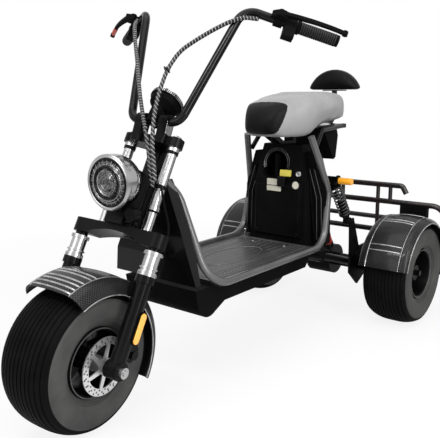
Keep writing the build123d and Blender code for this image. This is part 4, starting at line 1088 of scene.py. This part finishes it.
# %% Wind the springs
SHOCK_TOP = (220.0, 152.0, 566.0)   # middles of the left shock's eyes, on the frame
SHOCK_LOW = (126.0, 166.7, 402.0)
COIL_RADIUS = 20.2                  # to the wire's middle
COIL_TURNS = 8.5
COIL_SPAN = (0.125, 0.765)          # shares of the way from the top eye down to the low one
CLOSED_TURNS = (0.112, 0.778)
spring_steel = plain_finish("spring_steel", rgb(0.006), rgb(0.012), (0.20, 0.32), coat=0.3,
                            grain=500, bump=0.00003, mirror=0.4)


def shock_ends(side):
    """The middles of a shock's upper and lower eye."""
    return [on_frame(x, side * y, z) for x, y, z in (SHOCK_TOP, SHOCK_LOW)]


springs = []
for side in (1, -1):
    top, low = shock_ends(side)
    span = low - top
    springs.append(coil(top + span * COIL_SPAN[0], top + span * COIL_SPAN[1], COIL_RADIUS, 3.4, COIL_TURNS))
    for share in CLOSED_TURNS:
        closed_turn = circle_points(axes(top + span * share, span), COIL_RADIUS, 32)
        springs.append(tube(closed_turn, 3.3, 8, loop=True))
print("turns wound:", COIL_TURNS * 2)

# %% Rods, bodies, eyes and bushes
# radius in millimetres, and the share of the way down
ROD = ((6, 0.05), (6, 0.60))
UPPER_BODY = ((0, 0.05), (16, 0.055), (23.5, 0.075), (23.5, 0.095), (12, 0.10), (12, 0.14))
LOWER_BODY = ((8, 0.46), (12.5, 0.47), (13.5, 0.50), (13.5, 0.79), (23.5, 0.795), (23.5, 0.82),
              (15, 0.84), (14, 0.90), (9, 0.94), (0, 0.95))
EYE = ((8, -12.6), (14, -13), (15, -11.5), (15, 11.5), (14, 13), (8, 12.6))
BUSH = ((0, -12), (8.2, -12), (8.2, 12), (0, 12))
bodies, rods, bushes = [], [], []
for side in (1, -1):
    top, low = shock_ends(side)
    place = axes(top, low - top)
    length = (low - top).length * 1000
    for profile, pieces, segments in ((ROD, rods, 24), (UPPER_BODY, bodies, 40), (LOWER_BODY, bodies, 40)):
        pieces.append(turned([(radius, share * length) for radius, share in profile], place, segments))
    for end in (top, low):
        eye = axes(end, (0, 1, 0))
        bodies.append(turned(EYE, eye, 36))
        bushes.append(turned(BUSH, eye, 24))
shock_piece = finish_piece("shock_bodies", joined(bodies), black_alloy, "chassis")
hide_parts("shocks")
finish_piece("shock_rods", joined(rods), chrome, "chassis")
finish_piece("shock_springs", joined(springs), spring_steel, "chassis", 60)
finish_piece("shock_bushes", joined(bushes), bright_steel, "chassis")
print("shocks stand", round(length), "mm between their eyes")

# %% [markdown]
# Beside each shock stands its fluid canister: a short cylinder with a bright cap at each
# end and a red band between dark rings.

# %% Canisters beside the swing arm
CANISTER_LOW = (196, 130, 300)      # ends of the left one's axis, on the frame
CANISTER_HIGH = (250, 130, 388)
red_paint = plain_finish("red_band", rgb(0.30, (1, 0.05, 0.04)), rgb(0.42, (1, 0.06, 0.05)),
                         (0.22, 0.34), metal=0.3, coat=0.8)
caps, bands, shells = [], [], []
for side in (1, -1):
    low, high = [on_frame(x, side * y, z) for x, y, z in (CANISTER_LOW, CANISTER_HIGH)]
    place = axes(low, high - low)
    length = (high - low).length * 1000
    shell = [(18, 8), (20, 10), (20, 30), (18.4, 32), (18.4, 66), (20, 68)]
    shells.append(turned(shell + [(20, length - 10), (18, length - 8)], place, 40))
    bands.append(turned([(18.6, 33), (19.0, 35), (19.0, 63), (18.6, 65)], place, 40))
    caps.append(turned([(0, 0), (10, 0), (16, 3), (18.4, 8), (18.4, 10)], place, 40))
    upper_cap = [(18.4, 10), (18.4, 8), (16, 3), (9, 0), (0, 0)]
    caps.append(turned([(radius, length - depth) for radius, depth in upper_cap], place, 40))
finish_piece("canister_shells", joined(shells), black_alloy, "chassis")
finish_piece("canister_bands", joined(bands), red_paint, "chassis")
finish_piece("canister_caps", joined(caps), bright_steel, "chassis")
print("canisters:", len(bands))

# %% [markdown]
# ## Battery case
# The case is a plain black box with a drop-in battery. Its details are small: a carrying
# handle in its recess (already solid), two blank tags, a key lock with a bright ring, a
# round charge port with a pale cap, pressed lines in the lower lid and four screws.

# %% Tags, latch, lock and charge port
FOOTBOARD_TOP = 343.0
CASE_BEND = 234.0
# the two flat parts of the case's front: x and height of a point low on it, its run back, its rise
CASE_LOWER = (384.0, 24, 9, 202)
CASE_UPPER = (365.5, 235, 20, 134)
yellow_tag = plain_finish("yellow_tag", rgb(0.62, (1.0, 0.86, 0.10)), rgb(0.50, (1.0, 0.84, 0.08)),
                          (0.35, 0.5), coat=0.3)
cream_tag = plain_finish("cream_tag", rgb(0.60, (1.0, 0.97, 0.80)), rgb(0.48, (1.0, 0.96, 0.78)),
                         (0.4, 0.55), coat=0.2)


def on_case(across, height, out=0.0):
    """A place on the case's front face: Y across, height above the footboard; Z points out."""
    x, start, back, rise = CASE_LOWER if height < CASE_BEND else CASE_UPPER
    spot = on_frame(x - back * (height - start) / rise + out, across, FOOTBOARD_TOP + height)
    return axes(spot, (rise, 0, back), (0, 0, 1))


def case_plate(name, width, height, spot, thick, finish, radius=3.0, edge=0.5):
    """A plate with round corners and eased edges on the case."""
    outline = rounded(height, width, radius)
    piece = finish_piece(name, plate(outline, thick, spot), finish, "chassis", 40)
    bevelled(piece, edge)


case_plate("case_tag_yellow", 50, 24, on_case(26, 262), 1.6, yellow_tag)
case_plate("case_tag_cream", 64, 46, on_case(-16, 216), 1.6, cream_tag)
case_plate("case_latch", 34, 40, on_case(20, 232, 2), 9, black_gloss, 5, 1.5)
lock = on_case(84, 262)
lock_ring = turned([(0, 3), (5, 3), (5.4, 5), (9, 5.6), (11, 4), (11.6, -2)], lock, 32)
finish_piece("case_lock", lock_ring, bright_steel, "chassis")
case_plate("case_lock_slot", 2.2, 9, lock @ Matrix.Translation((0, 0, 0.0028)), 0.8, black_gloss, 1)
port = on_case(81, 222)
port_cap = turned([(0, 4.6), (13, 4.4), (14.4, 3.4), (15, 0)], port, 36)
port_ring = turned([(15, -1), (15, 5), (17.6, 5.4), (19, 3), (19.4, -1)], port, 36)
finish_piece("case_port", port_cap, cream_tag, "chassis")
finish_piece("case_port_ring", port_ring, black_gloss, "chassis")
print("lock at", shortly(lock.translation), "port at", shortly(port.translation))

# %% Lid lines, screws, and painted highlights along the arch and the cover ribs
ARCH_ACROSS, ARCH_HEIGHT = -18, 296     # middle of the arch over the handle, on the case
ARCH_RADII = (50, 57)
ARCH_START, ARCH_SWEEP = -20, 220
COVER_HIGHLIGHT_PATH = ((336, 172, 360), (336, 166, 520), (334, 134, 622))    # on the frame, left side
lid_lines = [plate(rounded(186, 3, 1.4), 1.6, on_case(across, 122)) for across in (-96, 96)]
lid_lines += [plate(rounded(3, 189, 1.4), 1.6, on_case(0, height)) for height in (30, 214)]
finish_piece("case_lid_lines", joined(lid_lines), black_gloss, "chassis")
case_screws = [bolt(on_case(across, height), 4.6, 2.4) for across in (-88, 88) for height in (38, 205)]
finish_piece("case_screws", joined(case_screws), black_alloy, "chassis")
# grey lines on the black case: painted highlights along the edges of the arch over the handle's recess
arch_highlights = []
for radius in ARCH_RADII:
    path = []
    for k in range(25):
        angle = math.radians(ARCH_START + ARCH_SWEEP * k / 24)
        spot = on_case(ARCH_ACROSS + radius * math.cos(angle), ARCH_HEIGHT + radius * math.sin(angle))
        path.append(spot.translation)
    arch_highlights.append(tube(path, 1.1, 6))
finish_piece("case_arch_lines", joined(arch_highlights), frame_grey, "chassis")
# grey lines on the black side covers: painted highlights along their ribs
cover_highlights = []
for side in (1, -1):
    for shift in (0, 20):
        cover_highlights.append(tube([on_frame(x, side * (y - shift), z) for x, y, z in COVER_HIGHLIGHT_PATH], 1.2, 6))
finish_piece("cover_rib_highlights", joined(cover_highlights), frame_grey, "chassis")
print("case screws:", len(case_screws), "lines:", len(lid_lines) + len(arch_highlights) + len(cover_highlights))

# %% [markdown]
# ## Footboard mat
# The mat is moulded rubber: a pattern of small studs, long lines that run fore and aft,
# an oval in the middle and rows of short slanted dashes near the edges. Studs and
# dashes give grip, the oval is decoration. Everything stands one millimetre proud.

# %% Studs, lines and dashes
STUD_ROWS = 7
STUDS_IN_ROW = 34
DASHES_IN_ROW = 30
OVAL_X, OVAL_Y = 0.15, 0.072        # half axes
LINE_SHARES = (0.60, 0.67)          # of the mat's half width
DASH_ROWS = ((0.78, 0.6), (0.90, -0.6))     # share of the half width, slant
mat_rubber = plain_finish("mat_rubber", rgb(0.018), rgb(0.034), (0.40, 0.55), coat=0.10, grain=800,
                          bump=0.00015, mirror=0.3)
mat_raised = plain_finish("mat_raised", rgb(0.055), rgb(0.10), (0.32, 0.45), coat=0.2, grain=800,
                          bump=0.00008)
dress_node("footboard", mat_rubber)
board_low, board_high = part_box("footboard")
top = board_high.z
middle_x = (board_low.x + board_high.x) / 2
half_x = (board_high.x - board_low.x) / 2 - 0.02
half_y = board_high.y - 0.016


def floor_spot(x, y, turn=0.0):
    """A place just under the mat's top, turned about the upright."""
    return Matrix.Translation((x, y, top - 0.0001)) @ Matrix.Rotation(turn, 4, "Z")


def row_x(k, count):
    """Where mark number k stands in a row along the mat."""
    return middle_x + half_x * 0.94 * (2 * k / (count - 1) - 1)


raised = []
for row in range(STUD_ROWS):
    y = half_y * 0.52 * (2 * row / (STUD_ROWS - 1) - 1)
    for k in range(STUDS_IN_ROW):
        x = row_x(k, STUDS_IN_ROW)
        # studs keep clear of the oval's line
        if 0.72 < ((x - middle_x) / OVAL_X) ** 2 + (y / OVAL_Y) ** 2 < 1.3:
            continue
        raised.append(turned([(0, 1.2), (2.2, 1.0), (3.0, 0)], floor_spot(x, y), 10))
for side in (1, -1):
    for share in LINE_SHARES:
        line = rounded(half_x * 1900, 2.4, 1.1, 2)
        raised.append(plate(line, 1.1, floor_spot(middle_x, side * half_y * share)))
    for k in range(DASHES_IN_ROW):
        for share, slant in DASH_ROWS:
            spot = floor_spot(row_x(k, DASHES_IN_ROW), side * half_y * share, slant)
            raised.append(plate(rounded(14, 3, 1.4, 2), 1.2, spot))
print("studs, lines and dashes:", len(raised))

# %% Oval, border and screws
# corners of the border, as shares of the mat's half length and half width
BORDER = ((1, 0.9), (0.96, 1), (-0.96, 1), (-1, 0.9), (-1, -0.9), (-0.96, -1), (0.96, -1), (1, -0.9))
line_height = top + 0.0002
oval = []
for k in range(48):
    angle = 2 * math.pi * k / 48
    oval.append((middle_x + OVAL_X * math.cos(angle), OVAL_Y * math.sin(angle), line_height))
border = [(middle_x + x * half_x, y * half_y, line_height) for x, y in BORDER]
raised += [tube(path, 1.5, 6, loop=True) for path in (oval, border)]
finish_piece("mat_pattern", joined(raised), mat_raised, "chassis")
mat_screws = [bolt(floor_spot(middle_x + sx * half_x * 0.86, sy * half_y * 0.45), 6, 2.2)
              for sx in (1, -1) for sy in (1, -1)]
finish_piece("mat_screws", joined(mat_screws), bright_steel, "chassis")
print("mat screws:", len(mat_screws))

# %% [markdown]
# ## Stuffed seat and backrest pad
# The seat is foam under stretched vinyl. Foam pushes the cover out between its fixed
# edges, and that is just what cloth with a little air pressure does. The solid cushion
# is copied, rebuilt as an even grid of small faces, shrunk slightly and inflated for
# twenty frames with gravity off; a cap keeps every point near the shape it started from.
# The vinyl comes in two tones: a black nose and pale grey sides and top.

# %% Inflate a copy of a solid cushion
INFLATING_FRAMES = 20


def applied(piece, kind, **settings):
    """Give the active piece a modifier, set it up and apply it at once."""
    modifier = piece.modifiers.new(kind.lower(), kind)
    for setting, value in settings.items():
        setattr(modifier, setting, value)
    bpy.ops.object.modifier_apply(modifier=modifier.name)


def inflated(piece, pressure, cap):
    """Blow a piece up as cloth; no point moves further than the cap, in metres."""
    rest = [vertex.co.copy() for vertex in piece.data.vertices]
    cloth = piece.modifiers.new("stuffing", "CLOTH")
    cloth.settings.use_pressure = True
    cloth.settings.uniform_pressure_force = pressure
    cloth.settings.quality = 6
    cloth.settings.tension_stiffness = 18
    cloth.settings.compression_stiffness = 18
    cloth.settings.effector_weights.gravity = 0
    for number in range(1, INFLATING_FRAMES + 1):
        bpy.context.scene.frame_set(number)
    moved = piece.evaluated_get(bpy.context.evaluated_depsgraph_get())
    shaped = [vertex.co.copy() for vertex in moved.data.vertices]
    piece.modifiers.remove(cloth)
    bpy.context.scene.frame_set(1)
    for vertex, start, end in zip(piece.data.vertices, rest, shaped):
        step = end - start
        if step.length > cap:
            step = step.normalized() * cap
        vertex.co = start + step
    applied(piece, "SMOOTH", factor=0.5, iterations=24)


def stuffed(name, node, voxel, shrink, cap, pressure, reshape=None):
    """A padded copy of a solid piece: remeshed, slightly smaller, inflated and capped."""
    mesh = nodes[node].data.copy()
    mesh.materials.clear()
    piece = bpy.data.objects.new(name, mesh)
    bpy.context.scene.collection.objects.link(piece)
    bpy.ops.object.select_all(action="DESELECT")
    piece.select_set(True)
    bpy.context.view_layer.objects.active = piece
    applied(piece, "REMESH", mode="VOXEL", voxel_size=voxel)
    applied(piece, "SMOOTH", factor=0.5, iterations=14)
    points = piece.data.vertices
    if reshape:
        for vertex in points:
            vertex.co = reshape(vertex.co)
    middle = sum((vertex.co for vertex in points), Vector()) / len(points)
    for vertex in points:
        vertex.co = middle + (vertex.co - middle) * shrink
    inflated(piece, pressure, cap)
    floor_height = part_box(node)[0].z + 0.0004
    for vertex in piece.data.vertices:
        vertex.co.z = max(vertex.co.z, floor_height)
    applied(piece, "SUBSURF", levels=1, render_levels=1)
    for polygon in piece.data.polygons:
        polygon.use_smooth = True
    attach(piece, "chassis")
    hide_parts(node)
    return piece


print("frames to inflate a cushion:", INFLATING_FRAMES)

# %% [markdown]
# Vinyl has a leather-like grain: small cells with soft edges, the same in every part of
# the cover. A bump from a cell pattern gives it.

# %% Vinyl in two tones
VINYL_GRAIN = 330.0


def vinyl_finish(name, colour, other, mirror=0.4):
    """Vinyl: leather-like grain, a slight sheen and soft, uneven gloss."""
    material, tree, shader = new_finish(name)
    colours = two_colours(tree, spread(tree, drift(tree, 7), 0, 1), colour, other)
    tree.links.new(colours, shader.inputs["Base Color"])
    tree.links.new(spread(tree, drift(tree, 16), 0.36, 0.50), shader.inputs["Roughness"])
    place = tree.nodes.new("ShaderNodeTexCoord")
    cells = tree.nodes.new("ShaderNodeTexVoronoi")
    cells.inputs["Scale"].default_value = VINYL_GRAIN
    tree.links.new(place.outputs["Object"], cells.inputs["Vector"])
    raise_by(tree, shader, cells.outputs["Distance"], 0.0003, 0.35)
    shader.inputs["Specular IOR Level"].default_value = mirror
    return material


seat_grey = vinyl_finish("seat_grey", rgb(0.21), rgb(0.28))
seat_black = vinyl_finish("seat_black", rgb(0.002), rgb(0.004), mirror=0.08)
pad_black = vinyl_finish("pad_black", rgb(0.002), rgb(0.004), mirror=0.08)
print("vinyl cells in a metre:", VINYL_GRAIN)

# %% [markdown]
# The seat narrows towards its nose, so the copy is drawn in a little before it is blown
# up. Afterwards the line between the two tones leans back as it rises.

# %% Seat and backrest pad
NOSE_START = 250.0          # from the rear axle, in millimetres
NOSE_LENGTH = 0.264         # this and the next one in metres
NOSE_HALF_WIDTH = 0.078
NOSE_BACK, NOSE_NARROW, NOSE_LOWER = 0.012, 0.04, 0.08
SEAT_SPLIT_X = 494.0
SEAT_SPLIT_LEAN = 0.42
seat_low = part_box("seat_cushion")[0].z


def drawn_in(point):
    """Narrow the seat towards its nose and round the nose's corners in plan."""
    ahead = (point.x - on_frame(NOSE_START, 0, 0).x) / NOSE_LENGTH
    if ahead <= 0:
        return point
    ease = ahead * ahead * (3 - 2 * min(ahead, 1.0))
    back = NOSE_BACK * ease * (point.y / NOSE_HALF_WIDTH) ** 2
    return Vector((point.x - back, point.y * (1 - NOSE_NARROW * ease),
                   seat_low + (point.z - seat_low) * (1 - NOSE_LOWER * ease)))


seat = stuffed("seat_cushion_soft", "seat_cushion", 0.006, 0.996, 0.012, 1.8, drawn_in)
seat.data.materials.append(seat_grey)
seat.data.materials.append(seat_black)
split = on_frame(SEAT_SPLIT_X, 0, 0).x
for polygon in seat.data.polygons:
    edge = split - SEAT_SPLIT_LEAN * (polygon.center.z - seat_low)
    polygon.material_index = 1 if polygon.center.x > edge else 0
pad = stuffed("backrest_pad_soft", "backrest_pad", 0.005, 0.97, 0.010, 4.0)
pad.data.materials.append(pad_black)
print("seat faces:", len(seat.data.polygons), "pad faces:", len(pad.data.polygons))

# %% [markdown]
# ## Backdrop, floor and light
# The trike stands in a plain white studio. The world shows pure white to the camera, to
# mirrors and to glass, but lights matt surfaces only weakly, so that black stays black.

# %% A white world
FILL = 0.35                 # light from the white world on matt surfaces
WHITE = 1.0                 # what the camera, mirrors and glass see of it


def mixed(tree, factor, first, second):
    """Show the first shader where the factor is 0 and the second where it is 1."""
    blend = tree.nodes.new("ShaderNodeMixShader")
    for socket, source in zip(blend.inputs, (factor, first, second)):
        tree.links.new(source, socket)
    return blend.outputs[0]


world = bpy.data.worlds.new("studio")
bpy.context.scene.world = world
world.use_nodes = True
tree = world.node_tree
tree.nodes.clear()
rays = tree.nodes.new("ShaderNodeLightPath")
seen = rays.outputs["Is Camera Ray"]
for kind in ("Is Glossy Ray", "Is Transmission Ray"):
    seen = reckon(tree, "MAXIMUM", seen, rays.outputs[kind])
shades = []
for strength in (FILL, WHITE):
    shade = tree.nodes.new("ShaderNodeBackground")
    shade.inputs["Color"].default_value = (1, 1, 1, 1)
    shade.inputs["Strength"].default_value = strength
    shades.append(shade.outputs[0])
out = tree.nodes.new("ShaderNodeOutputWorld")
tree.links.new(mixed(tree, seen, *shades), out.inputs["Surface"])
print("world:", world.name)

# %% [markdown]
# Near the wheels the floor keeps a little of its own shade, with the shadow under the
# tyres. Further out it is all white, so no horizon shows.

# %% A floor that fades to white
REACH = 14.0                # half the floor's side
FADE_START, FADE_END = 1.1, 2.4     # metres from the middle
NEAR_WHITE = 0.86
floor_mesh = bpy.data.meshes.new("studio_floor")
corners = [(x * REACH, y * REACH, 0) for x, y in ((-1, -1), (1, -1), (1, 1), (-1, 1))]
floor_mesh.from_pydata(corners, [], [(0, 1, 2, 3)])
floor = bpy.data.objects.new("studio_floor", floor_mesh)
bpy.context.scene.collection.objects.link(floor)
floor_finish, tree, shader = new_finish("studio_floor")
shader.inputs["Roughness"].default_value = 0.9
shader.inputs["Specular IOR Level"].default_value = 0.1
shader.inputs["Base Color"].default_value = rgb(0.80)
glow = tree.nodes.new("ShaderNodeEmission")
glow.inputs["Strength"].default_value = 1.0
rays = tree.nodes.new("ShaderNodeLightPath")
place = tree.nodes.new("ShaderNodeTexCoord")
away = tree.nodes.new("ShaderNodeVectorMath")
away.operation = "LENGTH"
tree.links.new(place.outputs["Object"], away.inputs[0])
whiteness = spread(tree, away.outputs["Value"], NEAR_WHITE, 1.0, FADE_START, FADE_END)
mostly = reckon(tree, "MULTIPLY", rays.outputs["Is Camera Ray"], whiteness)
shown = mixed(tree, mostly, shader.outputs[0], glow.outputs[0])
tree.links.new(shown, tree.nodes["Material Output"].inputs["Surface"])
floor_mesh.materials.append(floor_finish)
print("floor side:", 2 * REACH)

# %% [markdown]
# A large lamp makes a long, calm reflection and a soft shadow, which is what makes black
# paint and chrome readable. Three of them light the trike from above, from its left and
# from the front. Two long narrow ones draw the bright lines along tubes and edges.

# %% Soft lamps
# name, place, target, size in metres, power in watts
LAMPS = (("lamp_over", (0.6, 0.4, 3.4), (0, 0, 0.4), (3.0, 3.0), 58),
         ("lamp_left", (0.8, 3.4, 2.2), (0.1, 0, 0.5), (2.6, 2.0), 46),
         ("lamp_front", (4.0, -0.6, 2.0), (0.3, 0, 0.5), (2.4, 2.0), 34),
         ("strip_left", (0.9, 2.6, 1.5), (0.1, 0.1, 0.6), (0.22, 2.4), 34),
         ("strip_over", (1.9, 0.3, 2.7), (0.2, 0, 0.5), (2.2, 0.25), 34))
for name, place, target, size, power in LAMPS:
    data = bpy.data.lights.new(name, "AREA")
    data.shape = "RECTANGLE"
    data.size, data.size_y = size
    data.energy = power
    lamp = bpy.data.objects.new(name, data)
    bpy.context.scene.collection.objects.link(lamp)
    lamp.location = place
    lamp.rotation_euler = (Vector(target) - Vector(place)).to_track_quat("-Z", "Y").to_euler()
print("lamps:", len(LAMPS))

# %% [markdown]
# ## Camera
# The view is from the front left, a little above the seat, with a long-ish lens: wide
# enough for the front wheel to loom, narrow enough for the handlebar to stay straight.
# Its place is given from the rear axle, like everything on the chassis.

# %% Place the camera
CAMERA_PLACE = (2334, 1309, 900)
CAMERA_HEADING = 219.42     # degrees from forwards, turning left
CAMERA_DIP = -11.25
CAMERA_ROLL = -0.33
camera_data = bpy.data.cameras.new("camera")
camera_data.lens = 51.2
camera_data.sensor_width = 36.0
camera_data.shift_x = 0.0084
camera_data.shift_y = -0.0025
camera = bpy.data.objects.new("camera", camera_data)
bpy.context.scene.collection.objects.link(camera)
camera.location = on_frame(*CAMERA_PLACE)
heading, dip, roll = [math.radians(angle) for angle in (CAMERA_HEADING, CAMERA_DIP, CAMERA_ROLL)]
look = Vector((math.cos(heading) * math.cos(dip), math.sin(heading) * math.cos(dip), math.sin(dip)))
level = look.to_track_quat("-Z", "Y").to_matrix()
camera.rotation_euler = (level @ Matrix.Rotation(roll, 3, "Z")).to_euler()
bpy.context.scene.camera = camera
bpy.context.scene.view_settings.view_transform = "Standard"
print("camera at", shortly(camera.location))
